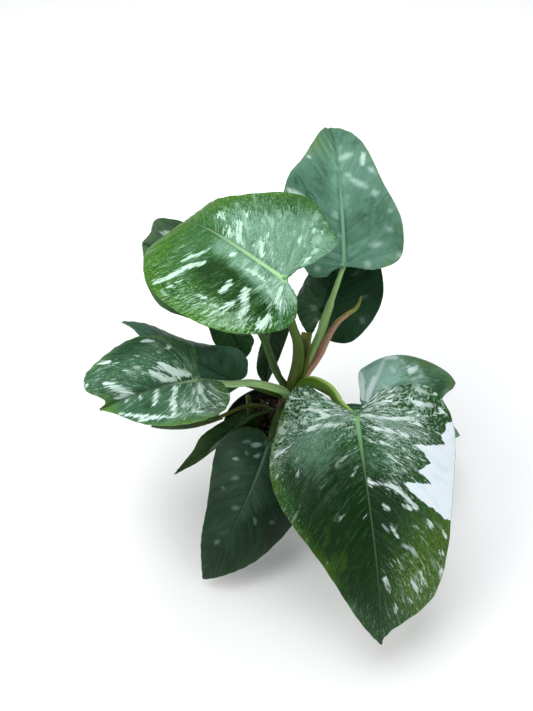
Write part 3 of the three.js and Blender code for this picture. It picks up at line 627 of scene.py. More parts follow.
def makeBlade(name, leaf):
    leaf["frames"] = midribFrames(leaf)
    leaf["widest"] = max(y for x, y in leaf["left"] + leaf["right"])
    form = bladeForm
    bm = bmesh.new()
    rows, columns = leaf["grid"]
    bmesh.ops.create_grid(bm, x_segments=columns, y_segments=rows, size=1)
    raw = np.array([v.co for v in bm.verts])
    column = np.round(raw[:, 0], 6)
    column = np.where(np.abs(column) < 1e-5, 0.0, column)
    row = form["firstRow"] + (1 - form["firstRow"]) * (raw[:, 1] + 1) / 2
    x, y, toEdge = flatPlace(leaf, row, column)
    side = np.where(column >= 0, 1.0, -1.0)
    source, way, spread = veinField(leaf, x, y, side)
    tipward = np.clip(x / leaf["length"], 0, 1)
    # low relief on the upper face: side veins, a fine ripple at the edge, the midrib's groove
    gap = leaf["veinGap"]
    fromVein = np.abs(source / gap - np.floor(source / gap) - 0.5) * gap * spread
    groove = np.exp(-(fromVein / (gap * form["veinWidth"])) ** 2)
    groove = groove * np.clip(way / 5, 0, 1) * np.clip(toEdge / 12, 0, 1)
    relief = form["ripple"] * np.abs(column) ** 8 * np.sin(row * 150 + 1.3 * side) - form["quilting"] * groove
    reach = form["midribReach"] - form["midribTaper"] * tipward
    relief -= form["midribGroove"] * np.exp(-(y / reach) ** 2) * (x > -1)
    place = spacePlace(leaf, row, column, x, y, form["thickness"] / 2 + relief) * mm
    # how thick the blade is: its keel under the midrib, thin at the edge
    keel = form["keel"] * (1 - tipward) + form["tipKeel"] * tipward
    thick = form["thickness"] + keel * np.exp(-(y / form["keelReach"]) ** 2) * (x > -2)
    thick += form["veinKeel"] * groove
    thick -= (form["thickness"] - form["edgeThickness"]) * np.clip(1 - toEdge / form["edgeReach"], 0, 1)
    most = form["thickness"] + form["keel"] + 0.3
    values = leafMarks(leaf, x, y * side, source, way, spread, toEdge)
    layers = {key: bm.verts.layers.float_vector.new(key) for key in values}
    weights = bm.verts.layers.deform.verify()
    for i, v in enumerate(bm.verts):
        v.co = place[i]
        v[weights][0] = float(thick[i] / most)
        for key, layer in layers.items():
            v[layer] = values[key][i]
    bmesh.ops.remove_doubles(bm, verts=bm.verts, dist=1e-6)
    bm.normal_update()
    up = Vector(leaf["frames"][4][8])
    if sum(f.normal.dot(up) * f.calc_area() for f in bm.faces) < 0:
        bmesh.ops.reverse_faces(bm, faces=bm.faces)
    blade = newObject(name, bm)
    blade.vertex_groups.new(name="thick")
    shell = blade.modifiers.new("shell", "SOLIDIFY")
    shell.thickness = most * mm
    shell.offset = -1
    shell.vertex_group = "thick"
    shell.thickness_vertex_group = 0
    shell.use_even_offset = False
    return blade


def leafMaterial(name, leaf, seed):
    look = Look(name, leaf["green"], Specular_IOR_Level=leaf["gloss"])
    x, y, density = look.attribute("flat")
    source, way, toEdge = look.attribute("vein")
    bright, faint, inSector = look.attribute("marks")
    yellow, dark, pale = look.attribute("tone")
    spread = look.attribute("spread")[0]
    length, gap, bands = leaf["length"], leaf["veinGap"], leaf["bands"]
    density = (density - dark * 0.6).smaller(1.05)
    where = look.place()
    wander = look.noise(where, 60, 3, 0.55)
    cloud = look.noise(where, 20, 2, 0.5)
    # noise is drawn out along the veins: fine across them, long along them
    across = source + (wander - 0.5) * 2.2
    along = way + (cloud - 0.5) * 8.0

    def drawn(fine, long, shift, *settings):
        return look.noise(look.vector(across * fine, along * long, seed + shift), 1, *settings)
    hairs = drawn(1.1, 0.15, 0, 3, 0.6, 0.15)
    dashes = drawn(0.5, 0.08, 3.3, 3, 0.6, 0.2)
    broad = drawn(0.2, 0.05, 9.1, 2, 0.5, 0.2)
    grains = drawn(0.85, 0.5, 6.1, 2, 0.6, 0.3)
    patches = drawn(0.09, 0.05, 12.7, 2, 0.55, 0.4)
    dapple = grains * 0.6 + hairs * 0.4
    # greens: deeper and paler tones, with painted shade in the dark spots and a painted sheen in the pale
    # spots
    drift = (cloud - 0.5) * 0.7 + (broad - 0.5) * 1.1 + (wander + patches - 1) * leaf["blotch"]
    # painted shade: the dark spots darken the valleys and creases of the blade, together with its own deeper
    # green
    look.coat(leaf["deep"], (dark + drift).between(-0.1, 0.8))
    # painted sheen: the pale spots lighten where the blade mirrors the bright sky, together with its own
    # paler tone
    look.coat(leaf["pale"], (pale + drift * 0.8 + (hairs + dashes - 1) * leaf["mottled"]).between(0.1, 0.9))
    edgeYellow = toEdge.between(1, 15, leaf["edgeYellow"], 0) + yellow
    isYellow = (edgeYellow + (dashes - 0.5) * 0.9 + (patches - 0.5) * 0.9).between(0.05, 0.95)
    look.coat(leaf["yellow"], isYellow * 0.9)
    # side veins and the fine ones between them, with painted shade beside the side veins
    fromJoint = (x * x + y * y) ** 0.5
    inside = way.between(0.5, 4) * toEdge.between(0.5, 5) * fromJoint.between(5, 14)
    fromVein, fromFine = (
        abs((source / between).fract() - 0.5) * spread * between for between in (gap, gap / 7))
    sideVein = fromVein.between(0.1, 1.0, 1, 0) * inside
    fineVein = fromFine.between(0.05, 0.5, 1, 0) * inside
    light, sunny = tinted(leaf["green"], 1.3, 10), tinted(leaf["yellow"], 1.35, 22)
    darkMottleAndShade = tinted(leaf["deep"], 0.6)
    # painted shade: a darker band along each side of a side vein, as in a groove
    look.coat(darkMottleAndShade, fromVein.between(0.8, 3.4, 1, 0) * inside * (0.3 * leaf["veins"]))
    rooted = way.between(2, 30, 0.9, 0.25) * x.between(length * 0.3, length * 0.7, 1, 0.5)
    look.coat(leaf["midrib"], sideVein * rooted * leaf["veins"])
    look.coat(light, fineVein * (0.2 * leaf["veins"]))
    # bands, dapples, then pale hairs, grains and dashes, thick where the leaf is dusted with them
    fleckColour = tuple(0.4 * c + 0.6 * m for c, m in zip(leaf["pale"], leaf["mark"]))
    lightColour = look.mix(look.mix(light, fleckColour, pale.between(0.1, 0.9, 0, 0.8)), sunny, isYellow)
    bandMask = (broad + density * 0.16 + pale * ((bands - 0.35) * 0.28)).between(0.66, 0.82)
    look.coat(fleckColour, bandMask * (pale * (bands - 0.35) + 0.35))
    look.coat(lightColour, dapple.between(0.49, 0.58) * (density * 0.5 + 0.22) * leaf["mottled"])
    look.coat(darkMottleAndShade, dapple.between(0.4, 0.49, 1, 0) * (density * 0.4 + 0.25) * leaf["mottled"])
    hairMask = (hairs - (0.735 - density * 0.20)).between(-0.01, 0.04)
    dashMask = (dashes - (0.745 - density * 0.17)).between(-0.01, 0.045)
    grainMask = (grains - (0.735 - density * 0.16)).between(-0.01, 0.04)
    look.coat(look.mix(fleckColour, sunny, isYellow * 0.75), hairMask.larger(grainMask) * 0.62)
    look.coat(look.mix(leaf["mark"], sunny, isYellow * 0.4), dashMask * 0.75)
    # the larger splashes and the white sector
    torn = ((dashes - 0.5) * 11.0 + (hairs - 0.5) * 7.0) * leaf["torn"]
    blur = leaf["softness"]
    splash = (bright + torn).between(-0.9 * blur, 0.9 * blur)
    sector = (inSector + (dashes - 0.5) * 5.0 + (hairs - 0.5) * 2.0).between(-0.3, 0.4)
    greenInMark = (broad * 0.4 + hairs * 0.6).between(0.46, 0.62, 0, 0.75)
    markTone = look.mix(leaf["mark"], fleckColour, greenInMark)
    look.coat(markTone, (faint + torn * 0.7).between(-1.2 * blur, 1.6 * blur) * 0.55)
    look.coat(markTone, splash * 0.94)
    white = look.mix((240, 250, 255), (222, 240, 250), broad.between(0.45, 0.7, 0, 0.6))
    white = look.mix(white, leaf["green"], (hairs * 0.5 + grains * 0.5 - 0.69).between(0, 0.03, 0, 0.6))
    look.coat(white, sector)
    # midrib: pale and wide at the joint, soon a thin line
    wide, narrow = leaf["midribWidth"]
    midribShare = x.between(0, length * leaf["midribRun"])
    width = (1 - midribShare) * (wide / 2) + midribShare * (narrow / 2)
    offLine = abs(y) / (width * (0.7 + wander * 0.6))
    midrib = offLine.between(0.35, 1.25, 1, 0) * x.between(-2.5, 0.5)
    # painted shade: darker beside the midrib near the joint
    look.coat(darkMottleAndShade, offLine.between(0.8, 3.0, 1, 0) * x.between(0, 12) * 0.3)
    look.coat(look.mix(leaf["midrib"], tinted(leaf["midrib"], 0.5, 8), midribShare),
              midrib * x.between(length * 0.3, length, 0.95, 0.35))
    look.coat(leaf["midrib"], fromJoint.between(1.5, 6, 0.8, 0))
    look.coat(lightColour, toEdge.between(0.15, 0.7, 0.45, 0))
    roughness = 0.42 + (cloud - 0.5) * 0.2 + splash.larger(sector) * 0.08 + (hairs - 0.5) * 0.15
    cells = look.noise(where, 1400, 2, 0.5)
    height = cells * 0.15 + hairs * 0.25 + dashes * 0.3 - sideVein * 0.4 - fineVein * 0.15 + wander * 0.4
    return look.finish(roughness, height, 0.0006, 0.5)


seed = 1.0
for leafName, leaf in leaves.items():
    blade = makeBlade(leafName + "_leaf", leaf)
    putOn(blade, leafMaterial(leafName + "Leaf", leaf, seed), leafName + "_blade")
    seed += 3.7
print("blades made")


# Stalks and stems
def smoothPath(points, count):
    # a centripetal curve through the points, sampled evenly along its length
    points = [np.array(p, float) for p in points]
    ends = [2 * points[0] - points[1]] + points + [2 * points[-1] - points[-2]]
    w = np.linspace(0, 1, 80, endpoint=False)[:, None]
    dense = []
    for p0, p1, p2, p3 in zip(ends, ends[1:], ends[2:], ends[3:]):
        t0, t1, t2 = [max(np.linalg.norm(b - a), 1e-4) ** 0.5 for a, b in ((p0, p1), (p1, p2), (p2, p3))]
        leaving = ((p1 - p0) / t0 - (p2 - p0) / (t0 + t1) + (p2 - p1) / t1) * t1
        arriving = ((p2 - p1) / t1 - (p3 - p1) / (t1 + t2) + (p3 - p2) / t2) * t1
        dense.append(p1 + leaving * w + (-3 * p1 + 3 * p2 - 2 * leaving - arriving) * w ** 2
                     + (2 * p1 - 2 * p2 + leaving + arriving) * w ** 3)
    dense = np.concatenate([*dense, points[-1:]])
    run = np.concatenate([[0], np.cumsum(np.linalg.norm(np.diff(dense, axis=0), axis=1))])
    at = np.linspace(0, run[-1], count)
    return np.stack([np.interp(at, run, dense[:, k]) for k in range(3)], -1), run[-1]


# radiusAt(share, angle) gives mm; the angle runs round from the upper side
def makeStalk(name, points, radiusAt, around, along, upward=(0, 0, 1), roundEnd=0, endAt=None):
    path, length = smoothPath(points, along + 1)
    tangents = np.gradient(path, axis=0)
    tangents /= np.linalg.norm(tangents, axis=1, keepdims=True)
    ups, up = [], np.array(upward, float)
    for tangent in tangents:
        up = up - tangent * np.dot(up, tangent)
        up = up / np.linalg.norm(up)
        ups.append(up)
    bm = bmesh.new()
    bmesh.ops.create_grid(bm, x_segments=around, y_segments=along, size=1)
    stalkLayer, ringLayer = (bm.verts.layers.float_vector.new(key) for key in ("stalk", "ring"))
    for v in bm.verts:
        angle = math.pi * (v.co.x + 1)
        share = (v.co.y + 1) / 2
        if endAt:
            share *= endAt(angle)
        i = round(share * along)
        radius = radiusAt(share, angle)
        toEnd = (1 - share) * length
        if toEnd < roundEnd:
            radius *= math.sqrt(max(0.0, 1 - (1 - toEnd / roundEnd) ** 2)) * 0.98 + 0.02
        side = np.cross(tangents[i], ups[i])
        v.co = (path[i] + (ups[i] * math.cos(angle) + side * math.sin(angle)) * radius) * mm
        v[stalkLayer] = (share * length, share, 0)
        v[ringLayer] = (math.cos(angle), math.sin(angle), 0)
    bmesh.ops.remove_doubles(bm, verts=bm.verts, dist=1e-6)
    bmesh.ops.holes_fill(bm, edges=[e for e in bm.edges if e.is_boundary], sides=0)
    bmesh.ops.recalc_face_normals(bm, faces=bm.faces)
    return newObject(name, bm)


def stalkMaterial(name, form, seed, roughness=0.42, ringed=0.0, streaky=0.5):
    look = Look(name, form["base"], Specular_IOR_Level=0.3)
    run, share, _ = look.attribute("stalk")
    above, beside, _ = look.attribute("ring")
    cloud = look.noise(look.place(), 70, 3, 0.55)
    lines = look.noise(look.vector(run * 0.05, above * 3.5, seed), 1, 3, 0.6, 0.3)
    fleck = look.noise(look.vector(run * 0.5, above * 6, seed + 5), 1, 2, 0.5)
    look.coat(form["body"], (share + (cloud - 0.5) * 0.4).between(0.0, 0.42))
    look.coat(form["tip"], (share + (cloud - 0.5) * 0.2).between(0.6, 1.0))
    look.coat(tinted(form["body"], 0.6), lines.between(0.5, 0.68) * streaky)
    look.coat(tinted(form["body"], 1.3, 16), fleck.between(0.6, 0.68) * 0.25)
    if "edge" in form:
        # the side that faces the light is brighter and yellower
        facing = above * form["edgeAt"][0] + beside * form["edgeAt"][1]
        look.coat(form["edge"], (facing + (lines - 0.5) * 0.3).between(0.35, 0.95, 0, 0.85))
    if "rag" in form:
        # the torn rim has dried
        look.coat(form["rag"], (share + (cloud - 0.5) * 0.25).between(0.72, 0.86))
        # painted shade: the open, hollow side of the sheath is darker, less so towards its torn rim
        look.coat(form["hollow"], (above + (cloud - 0.5) * 0.4).between(0.3, 0.75, 0, 0.85)
                  * share.between(0.8, 0.9, 1, 0.2))
    height = lines * 0.5 + cloud * 0.5
    if ringed:
        rings = look.noise(look.vector(run * 0.4, above * 0.3, seed + 2), 1, 2, 0.5)
        look.coat(form["base"], rings.between(0.52, 0.62) * ringed)
        height = height + rings * ringed
    return look.finish(roughness + (cloud - 0.5) * 0.2, height, 0.0006, 0.5)


petioleForm = {"around": 24, "along": 110, "flare": 0.16, "swell": 0.1, "channel": 0.16, "ridge": 0.05}
petioles = {
    "front": {"base": (52, 76, 10), "body": (70, 102, 14), "tip": (108, 142, 64), "edge": (172, 200, 104),
              "edgeAt": (0.5, -0.85), "step": (0.6, 0.9),
              "knuckles": ((0.5, 0.2, 0.28), (0.68, 0.035, 0.13), (0.76, 0.02, 0.1))},
    "left_front": {"base": (106, 138, 66), "body": (164, 206, 134), "tip": (168, 208, 146),
                   "edge": (200, 232, 172), "edgeAt": (0.9, 0.3)},
    "top": {"base": (100, 132, 60), "body": (138, 178, 108), "tip": (146, 190, 134), "edge": (164, 200, 122),
            "edgeAt": (0.4, 0.8), "step": (0.7, 0.76), "knuckles": ((0.7, 0.02, 0.1),)},
    "upper_left": {"base": (70, 74, 12), "body": (56, 80, 4), "tip": (104, 134, 48), "edge": (80, 106, 16),
                   "edgeAt": (0.3, 0.85), "knuckles": ((0.25, 0.2, 0.2), (0.93, 0.02, 0.16))},
    "low_front": {"base": (52, 70, 20), "body": (62, 92, 34), "tip": (80, 112, 56)},
    "left_rear": {"base": (54, 74, 20), "body": (70, 98, 34), "tip": (76, 108, 46)},
    "behind_upper": {"base": (46, 70, 20), "body": (62, 98, 36), "tip": (66, 102, 50)},
    "rear_right": {"base": (42, 62, 18), "body": (48, 76, 26), "tip": (54, 84, 36)},
    "right": {"base": (62, 84, 24), "body": (92, 126, 58), "tip": (112, 150, 92)},
    "hanging": {"base": (40, 60, 18), "body": (46, 72, 24), "tip": (52, 78, 34)},
    "inner": {"base": (40, 60, 18), "body": (48, 74, 26), "tip": (54, 82, 36)},
    "narrow": {"base": (46, 66, 20), "body": (58, 84, 28), "tip": (68, 96, 40)},
    "old": {"base": (72, 78, 26), "body": (96, 104, 40), "tip": (104, 114, 52)},
}
stemForm = {
    "path": ((-3, -1, 60), (-2, 0, 92), (6, 6, 125), (15, 12, 152)), "root": 6, "crown": 7,
    "scars": (0.12, 0.3, 0.46, 0.6, 0.72, 0.83, 0.92), "scarRise": 0.75, "scarDip": 0.3, "lumps": 0.25,
    "base": (70, 44, 30), "body": (112, 76, 44), "tip": (92, 96, 46),
}


def axisPlace(height):
    path = smoothPath(stemForm["path"], 300)[0]
    return path[np.argmin(np.abs(path[:, 2] - height))]


def petioleRadius(thick, thin, form):
    stepAt, stepTo = form.get("step", (2, 1))

    def radiusAt(share, angle):
        radius = thick + (thin - thick) * share
        # the sheathing part of the stalk ends in a small step
        radius *= stepTo + (1 - stepTo) / (1 + math.exp((share - stepAt) * 90))
        flare = 1 + petioleForm["flare"] * max(0.0, 1 - share * 5) ** 2
        swell = 1 + petioleForm["swell"] * math.exp(-((share - 0.97) / 0.035) ** 2)
        for at, width, amount in form.get("knuckles", ()):
            swell += amount * math.exp(-((share - at + 0.012 * math.sin(angle)) / width) ** 2)
        channel = petioleForm["channel"] * max(0.0, math.cos(angle)) ** 3 * (1 - 0.6 * share)
        fromTop = abs(math.atan2(math.sin(angle), math.cos(angle)))
        ridge = petioleForm["ridge"] * math.exp(-((fromTop - 0.75) / 0.22) ** 2)
        return radius * flare * swell * (1 - channel + ridge)
    return radiusAt


for leafName, leaf in leaves.items():
    form = petioles[leafName]
    seat, middle = np.array([bladeForm["seatRow"]]), np.zeros(1)
    seatX, seatY, _ = flatPlace(leaf, seat, middle)
    sunk = middle - bladeForm["thickness"] / 2 - bladeForm["keel"] * 0.6
    under = spacePlace(leaf, seat, middle, seatX, seatY, sunk)[0]
    route = [axisPlace(leaf["start"]), *leaf["via"], under]
    petiole = makeStalk(leafName + "_stalk", route, petioleRadius(leaf["thick"], leaf["thin"], form),
                        petioleForm["around"], petioleForm["along"], roundEnd=leaf["thin"] * 0.8)
    putOn(petiole, stalkMaterial(leafName + "Petiole", form, seed), leafName + "_petiole")
    seed += 1.3
print("petioles made")


# Main stem with its leaf scars
def stemRadius(share, angle):
    radius = stemForm["root"] + (stemForm["crown"] - stemForm["root"]) * share
    for i, scar in enumerate(stemForm["scars"]):
        past = share - scar - 0.012 * math.sin(angle + i * 2.1)
        radius += stemForm["scarRise"] * math.exp(-(past / 0.012) ** 2)
        radius -= stemForm["scarDip"] * math.exp(-((past - 0.03) / 0.02) ** 2)
    point = Vector((math.cos(angle) * 2, math.sin(angle) * 2, share * 14))
    return radius + stemForm["lumps"] * noise.noise(point)


mainStem = makeStalk("mainStem", stemForm["path"], stemRadius, 40, 160, upward=(1, 0, 0), roundEnd=3)
putOn(mainStem, stalkMaterial("stemBark", stemForm, seed, 0.6, ringed=0.6, streaky=0.7), "main_stem")

# Young shoots
shoots = {
    "young_shoot": {"path": ((-20, 0, 66), (-24, 3, 90), (-27, 9, 112), (-30, 16, 136)), "root": 8, "end": 2,
                    "base": (66, 74, 28), "body": (64, 96, 28), "tip": (92, 124, 44)},
    "second_shoot": {"path": ((-8, 18, 68), (-10, 17, 90), (-12, 14, 112), (-16, 13, 131)), "root": 5.5,
                     "end": 1.4, "base": (66, 72, 28), "body": (60, 92, 26), "tip": (84, 114, 38)},
}


def shootRadius(root, end):
    def radiusAt(share, angle):
        radius = root + (end - root) * share
        # the overlapping sheaths show as a few slanting steps
        for step in (0.35, 0.6, 0.8):
            slant = step + 0.05 * math.cos(angle + step * 7)
            radius -= 0.07 * root / (1 + math.exp(-(share - slant) * 120)) * (1 - share)
        return max(0.3, radius + 0.02 * root)
    return radiusAt


for nodeName, form in shoots.items():
    shoot = makeStalk(nodeName + "_form", form["path"], shootRadius(form["root"], form["end"]), 32, 90,
                      upward=(1, 0, 0), roundEnd=3)
    putOn(shoot, stalkMaterial(nodeName + "Green", form, seed, 0.45, streaky=0.7), nodeName)
    seed += 1.3

# The leaf sheath, open on one side
sheathForm = {
    "path": ((16, 12, 150), (23, 17, 172), (26, 27, 189), (29, 38, 205)), "root": 7.5, "end": 5.2,
    "open": 0.75, "fluted": 0.05, "rim": 0.97, "torn": 0.03, "dip": 0.2,
    "base": (112, 84, 34), "body": (84, 98, 16), "tip": (96, 106, 28), "rag": (100, 112, 34),
    "hollow": (48, 62, 8),
}


def sheathRadius(share, angle):
    radius = sheathForm["root"] + (sheathForm["end"] - sheathForm["root"]) * share
    hollow = sheathForm["open"] * max(0.0, math.cos(angle)) ** 1.5 * min(1, share * 2.5)
    return radius * (1 - hollow) * (1 + sheathForm["fluted"] * math.sin(angle * 5 + share * 9))


def sheathEnd(angle):
    # a torn rim, lowest where the sheath stands open
    torn = sheathForm["torn"] * noise.noise(Vector((math.cos(angle) * 1.6, math.sin(angle) * 1.6, 4.2)))
    return sheathForm["rim"] + torn - sheathForm["dip"] * max(0.0, math.cos(angle)) ** 2


leafSheath = makeStalk("leafSheath", sheathForm["path"], sheathRadius, 60, 100, upward=(-0.3, -0.6, 0.7),
                       endAt=sheathEnd)
putOn(leafSheath, stalkMaterial("sheathOlive", sheathForm, seed, streaky=0.7), "leaf_sheath")

# The cataphyll in two pieces, its sheath and its point
spearForm = {
    "path": ((18, 12, 150), (28, 17, 167), (41, 25, 185), (49, 35, 198), (57, 43, 209), (67, 48, 216.5),
             (76, 52, 221.5), (81, 58, 232)),
    "root": 5.504, "end": 1.548, "channel": 0.5, "keel": 0.12, "ribs": 0.03, "samples": 500, "pointFrom": 400,
    "sheath": {"base": (150, 112, 70), "body": (160, 116, 96), "tip": (152, 136, 66), "edge": (186, 150, 126),
               "edgeAt": (0.2, 0.9)},
    "point": {"base": (150, 142, 66), "body": (140, 150, 56), "tip": (96, 116, 52)},
}


def spearRadius(first, last):
    def radiusAt(share, angle):
        whole = (first + (last - first) * share) / spearForm["samples"]
        radius = spearForm["root"] + (spearForm["end"] - spearForm["root"]) * whole
        radius *= 1 - 0.3 * max(0.0, (whole - 0.85) / 0.15)
        channel = spearForm["channel"] * max(0.0, math.cos(angle)) ** 2 * min(1, whole * 3)
        keel = spearForm["keel"] * max(0.0, -math.cos(angle)) ** 8
        return radius * (1 - channel + keel + spearForm["ribs"] * math.sin(angle * 9))
    return radiusAt


spearPath, _ = smoothPath(spearForm["path"], spearForm["samples"] + 1)
for pieceName, nodeName, first, last, part, blunt in (
        ("cataphyllSheath", "cataphyll", 0, spearForm["pointFrom"], "sheath", 0),
        ("cataphyllPoint", "cataphyll_tip", spearForm["pointFrom"], spearForm["samples"], "point", 1.5)):
    picked = spearPath[np.linspace(first, last, 9).astype(int)]
    piece = makeStalk(pieceName, picked, spearRadius(first, last), 48, 90, upward=(-0.6, -0.4, 0.7),
                      roundEnd=blunt)
    putOn(piece, stalkMaterial(pieceName + "Skin", spearForm[part], seed, 0.5, streaky=0.8), nodeName)
    seed += 1.3
print("stem, shoots and sheaths made")

# The pot, in mm
potForm = {
    "height": 105, "rimRadius": 56, "rimHeight": 12, "neckRadius": 52.6, "bottomRadius": 41,
    "wall": 1.6, "floor": 2, "drainHoles": 6, "drainRadius": 4, "drainCircle": 27, "steps": 144,
    "gripBand": (14, 71), "gripDepth": 0.4, "corner": 0.45,
}
shoulder = potForm["height"] - potForm["rimHeight"]


def potRadius(z):
    return potForm["bottomRadius"] + (potForm["neckRadius"] - potForm["bottomRadius"]) * z / shoulder


def roundedCorners(points, radius, steps=3):
    # every corner of the profile is turned over a small radius
    rounded = [points[0]]
    for before, corner, after in zip(points, points[1:], points[2:]):
        before, corner, after = Vector(before), Vector(corner), Vector(after)
        a, b = (corner + (end - corner).normalized() * min(radius, (end - corner).length * 0.45)
                for end in (before, after))
        for i in range(steps + 1):
            t = i / steps
            rounded.append(a * (1 - t) ** 2 + corner * 2 * t * (1 - t) + b * t ** 2)
    return rounded + [points[-1]]


def potMaterial():
    look = Look("potPlastic", (26, 27, 26))
    where = look.place()
    dust = look.noise(where, 45, 4, 0.6)
    grain = look.noise(where, 900, 2, 0.5)
    stretched = look.node("ShaderNodeVectorMath", {0: where, 1: (300, 300, 18)}, operation="MULTIPLY")
    scuff = look.noise(stretched, 1, 3, 0.6)
    smear = (dust - 0.5 + look.split(where)[2].between(0.088, 0.106) * 0.12).between(0.04, 0.16)
    look.coat((38, 38, 36), scuff.between(0.45, 0.65))
    look.coat((70, 58, 44), smear * 0.5)
    roughness = 0.36 + grain * 0.12 + smear * 0.3 + scuff.between(0.5, 0.7) * 0.08
    return look.finish(roughness, grain * 0.5 + scuff * 0.3, 0.0003, 0.35)


def drainCutter():
    bm = bmesh.new()
    radius, depth = potForm["drainRadius"] * mm, potForm["floor"] * 4 * mm
    for i in range(potForm["drainHoles"]):
        angle = 2 * math.pi * i / potForm["drainHoles"]
        at = Vector((math.cos(angle), math.sin(angle), 0)) * potForm["drainCircle"] * mm
        bmesh.ops.create_cone(bm, cap_ends=True, segments=32, radius1=radius, radius2=radius, depth=depth,
                              matrix=Matrix.Translation(at))
    return newObject("drainCutter", bm, False)


def makePot():
    height, rim, wall, bottom, floor, depth = (
        potForm[key] for key in ("height", "rimRadius", "wall", "bottomRadius", "floor", "gripDepth"))
    low, high = potForm["gripBand"]
    ledge = shoulder + wall
    profile = [
        (0, 0), (bottom - 5, 0), (bottom - 4, 0.8), (bottom - 2.4, 0), (bottom, 0),
        (potRadius(low), low), (potRadius(low + 1) - depth, low + 1),
        (potRadius(high - 1) - depth, high - 1), (potRadius(high), high),
        (potRadius(shoulder), shoulder), (rim - 0.3, shoulder), (rim - 0.3, shoulder + 2),
        (rim - 0.9, shoulder + 3), (rim - 0.7, height - 2.2), (rim, height - 1.6), (rim, height),
        (rim - wall, height), (rim - wall, ledge), (potRadius(ledge) - wall, ledge),
        (potRadius(floor) - wall, floor), (0, floor)]
    bm = bmesh.new()
    verts = [bm.verts.new((x * mm, 0, z * mm)) for x, z in roundedCorners(profile, potForm["corner"])]
    edges = [bm.edges.new(pair) for pair in zip(verts, verts[1:])]
    bmesh.ops.spin(bm, geom=verts + edges, cent=(0, 0, 0), axis=(0, 0, 1), angle=2 * math.pi,
                   steps=potForm["steps"], use_merge=True, use_duplicate=False)
    bmesh.ops.remove_doubles(bm, verts=bm.verts, dist=2e-6)
    bmesh.ops.recalc_face_normals(bm, faces=bm.faces)
    pot = newObject("nurseryPot", bm)
    holes = pot.modifiers.new("holes", "BOOLEAN")
    holes.object = drainCutter()
    holes.operation = "DIFFERENCE"
    holes.solver = "EXACT"
    bpy.context.view_layer.update()
    drilled = bpy.data.meshes.new_from_object(pot.evaluated_get(bpy.context.evaluated_depsgraph_get()))
    bpy.data.objects.remove(holes.object)
    pot.modifiers.clear()
    pot.data = drilled
    drilled.polygons.foreach_set("use_smooth", [True] * len(drilled.polygons))
    drilled.set_sharp_from_angle(angle=math.radians(35))
    drilled.materials.clear()
    putOn(pot, potMaterial(), "pot")


makePot()
print("pot made")

# Potting mix with its crumbs, chips and beads
soilForm = {"edge": 90, "middle": 93, "radius": 49.9, "gap": 0.3, "topShare": 0.75, "sideShare": 0.8,
            "bumps": ((1.5, 0.09), (0.8, 0.26), (0.35, 0.7))}
# loose grains on it, in mm; the crumbs look as the mix does
grains = {
    "mixCrumbs": {"count": 1500, "sizes": (0.8, 2.4), "flatness": 0.8, "seed": 11},
    "barkChips": {"count": 120, "sizes": (2.5, 5.5), "flatness": 0.45, "seed": 5,
                  "look": "chipBark", "dark": (52, 34, 22), "light": (104, 72, 46), "scale": 400},
    "paleBeads": {"count": 46, "sizes": (1.4, 3.2), "flatness": 0.85, "seed": 9,
                  "look": "beadWhite", "dark": (176, 172, 162), "light": (222, 220, 212), "scale": 700},
}


def soilHeight(x, y):
    away = math.hypot(x, y) / soilForm["radius"]
    mound = soilForm["edge"] + (soilForm["middle"] - soilForm["edge"]) * (1 - away ** 2)
    bumps = sum(size * noise.noise(Vector((x, y, 0)) * fine) for size, fine in soilForm["bumps"])
    return mound + bumps * max(0.0, min(1.0, (1 - away) * 8))


def makeSoil():
    edge, gap, top, down = (soilForm[key] for key in ("edge", "gap", "topShare", "sideShare"))
    bottom = potForm["floor"] + gap
    bm = bmesh.new()
    bmesh.ops.create_grid(bm, x_segments=120, y_segments=64, size=1)
    for v in bm.verts:
        angle = math.pi * (v.co.x + 1)
        share = (v.co.y + 1) / 2
        # over the top, down the wall, and back along the bottom
        if share <= top:
            radius = soilForm["radius"] * (share / top)
            z = soilHeight(radius * math.cos(angle), radius * math.sin(angle))
        else:
            past = (share - top) / (1 - top)
            z = edge - (edge - bottom) * past / down if past < down else bottom
            radius = (potRadius(z) - potForm["wall"] - gap) * min(1, 1 - (past - down) / (1 - down))
        v.co = Vector((radius * math.cos(angle), radius * math.sin(angle), z)) * mm
    bmesh.ops.remove_doubles(bm, verts=bm.verts, dist=1e-6)
    bmesh.ops.recalc_face_normals(bm, faces=bm.faces)
    look = Look("mixEarth", (30, 22, 16), Specular_IOR_Level=0.25)
    clods, fibre = look.noise(look.place(), 240, 4, 0.65), look.noise(look.place(), 900, 3, 0.6)
    look.coat((62, 46, 33), clods.between(0.4, 0.62))
    look.coat((92, 72, 52), fibre.between(0.6, 0.72) * 0.6)
    putOn(newObject("pottingMix", bm), look.finish(0.96 - fibre * 0.15, clods + fibre * 0.5, 0.002, 0.9),
          "potting_mix")
    return look.material


def grainMaterial(form):
    look = Look(form["look"], form["dark"])
    mottle = look.noise(look.place(), form["scale"], 4, 0.6)
    look.coat(form["light"], mottle.between(0.35, 0.65))
    return look.finish(0.8 + mottle * 0.15, mottle, 0.001, 0.6)


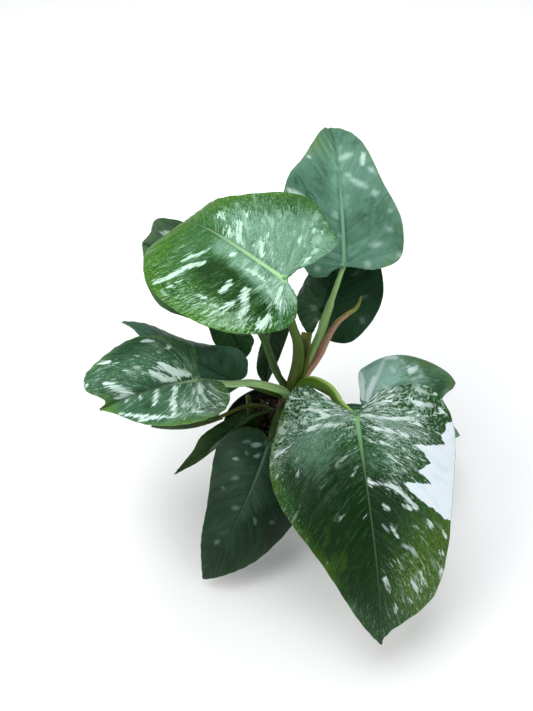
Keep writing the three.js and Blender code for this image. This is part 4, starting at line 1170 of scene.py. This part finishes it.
def scatter(name, form, material):
    random.seed(form["seed"])
    flatness = form["flatness"]
    bm = bmesh.new()
    for _ in range(form["count"]):
        radius = (soilForm["radius"] - 1.5) * math.sqrt(random.random())
        angle = random.uniform(0, 2 * math.pi)
        x, y = radius * math.cos(angle), radius * math.sin(angle)
        size = random.uniform(*form["sizes"])
        place = Matrix.Translation(Vector((x, y, soilHeight(x, y) + size * flatness * 0.25)) * mm)
        turn = Matrix.Rotation(random.uniform(0, 6.28), 4,
                               (random.random(), random.random(), random.random() + 0.1))
        squash = Matrix.Diagonal((random.uniform(0.6, 1), random.uniform(0.6, 1.2), flatness, 1))
        made = bmesh.ops.create_icosphere(bm, subdivisions=1, radius=size / 2 * mm,
                                          matrix=place @ turn @ squash)
        for v in made["verts"]:
            v.co += Vector([random.uniform(-1, 1) for _ in range(3)]) * size * 0.09 * mm
    scattered = newObject(name, bm, False)
    scattered.data.materials.append(material)
    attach(scattered, "root")


earth = makeSoil()
for grainName, form in grains.items():
    scatter(grainName, form, grainMaterial(form) if "look" in form else earth)
print("potting mix made")

# Floor and light
stageForm = {"floorSize": 6, "aim": (0.02, 0.02, 0.18), "sky": (0.92, 0.96, 1.0, 1), "skyStrength": 0.2}
lamps = {
    "skyPanel": {"place": (-0.25, 0.45, 1.6), "size": 1.5, "watts": 25, "colour": (0.94, 0.97, 1.0)},
    "windowPanel": {"place": (-1.3, -0.5, 1.2), "size": 1.0, "watts": 12, "colour": (1.0, 0.99, 0.96)},
    "fillPanel": {"place": (1.2, -0.9, 1.0), "size": 1.2, "watts": 7, "colour": (1.0, 0.99, 0.97)},
}


def addFloor():
    bm = bmesh.new()
    bmesh.ops.create_grid(bm, x_segments=4, y_segments=4, size=stageForm["floorSize"] / 2)
    floor = newObject("paleFloor", bm)
    look = Look("floorPaint", (236, 236, 234), Emission_Strength=1.0)
    soft = look.noise(look.place(), 3, 2, 0.5)
    look.coat((242, 242, 241), soft)
    # the lamps fall off away from the plant, so the floor makes up for it there
    x, y, _ = look.split(look.place())
    away = ((x * x + y * y) ** 0.5).between(0.1, 1.6, 0.14, 0.72)
    look.feed(look.shader.inputs["Emission Color"], look.vector(away, away, away))
    floor.data.materials.append(look.finish(0.8 + soft * 0.05))


def addLamp(name, lamp):
    data = bpy.data.lights.new(name, "AREA")
    data.shape = "DISK"
    data.size = lamp["size"]
    data.energy = lamp["watts"]
    data.color = lamp["colour"]
    lampObject = bpy.data.objects.new(name, data)
    lampObject.location = lamp["place"]
    aim = Vector(stageForm["aim"]) - Vector(lamp["place"])
    lampObject.rotation_euler = aim.to_track_quat("-Z", "Y").to_euler()
    scene.collection.objects.link(lampObject)


def addSky():
    world = bpy.data.worlds.new("paleRoom")
    world.use_nodes = True
    sky = world.node_tree.nodes["Background"]
    sky.inputs[0].default_value = stageForm["sky"]
    sky.inputs[1].default_value = stageForm["skyStrength"]
    scene.world = world
    scene.view_settings.view_transform = "Standard"


addFloor()
for lampName, lamp in lamps.items():
    addLamp(lampName, lamp)
addSky()
print("stage made")
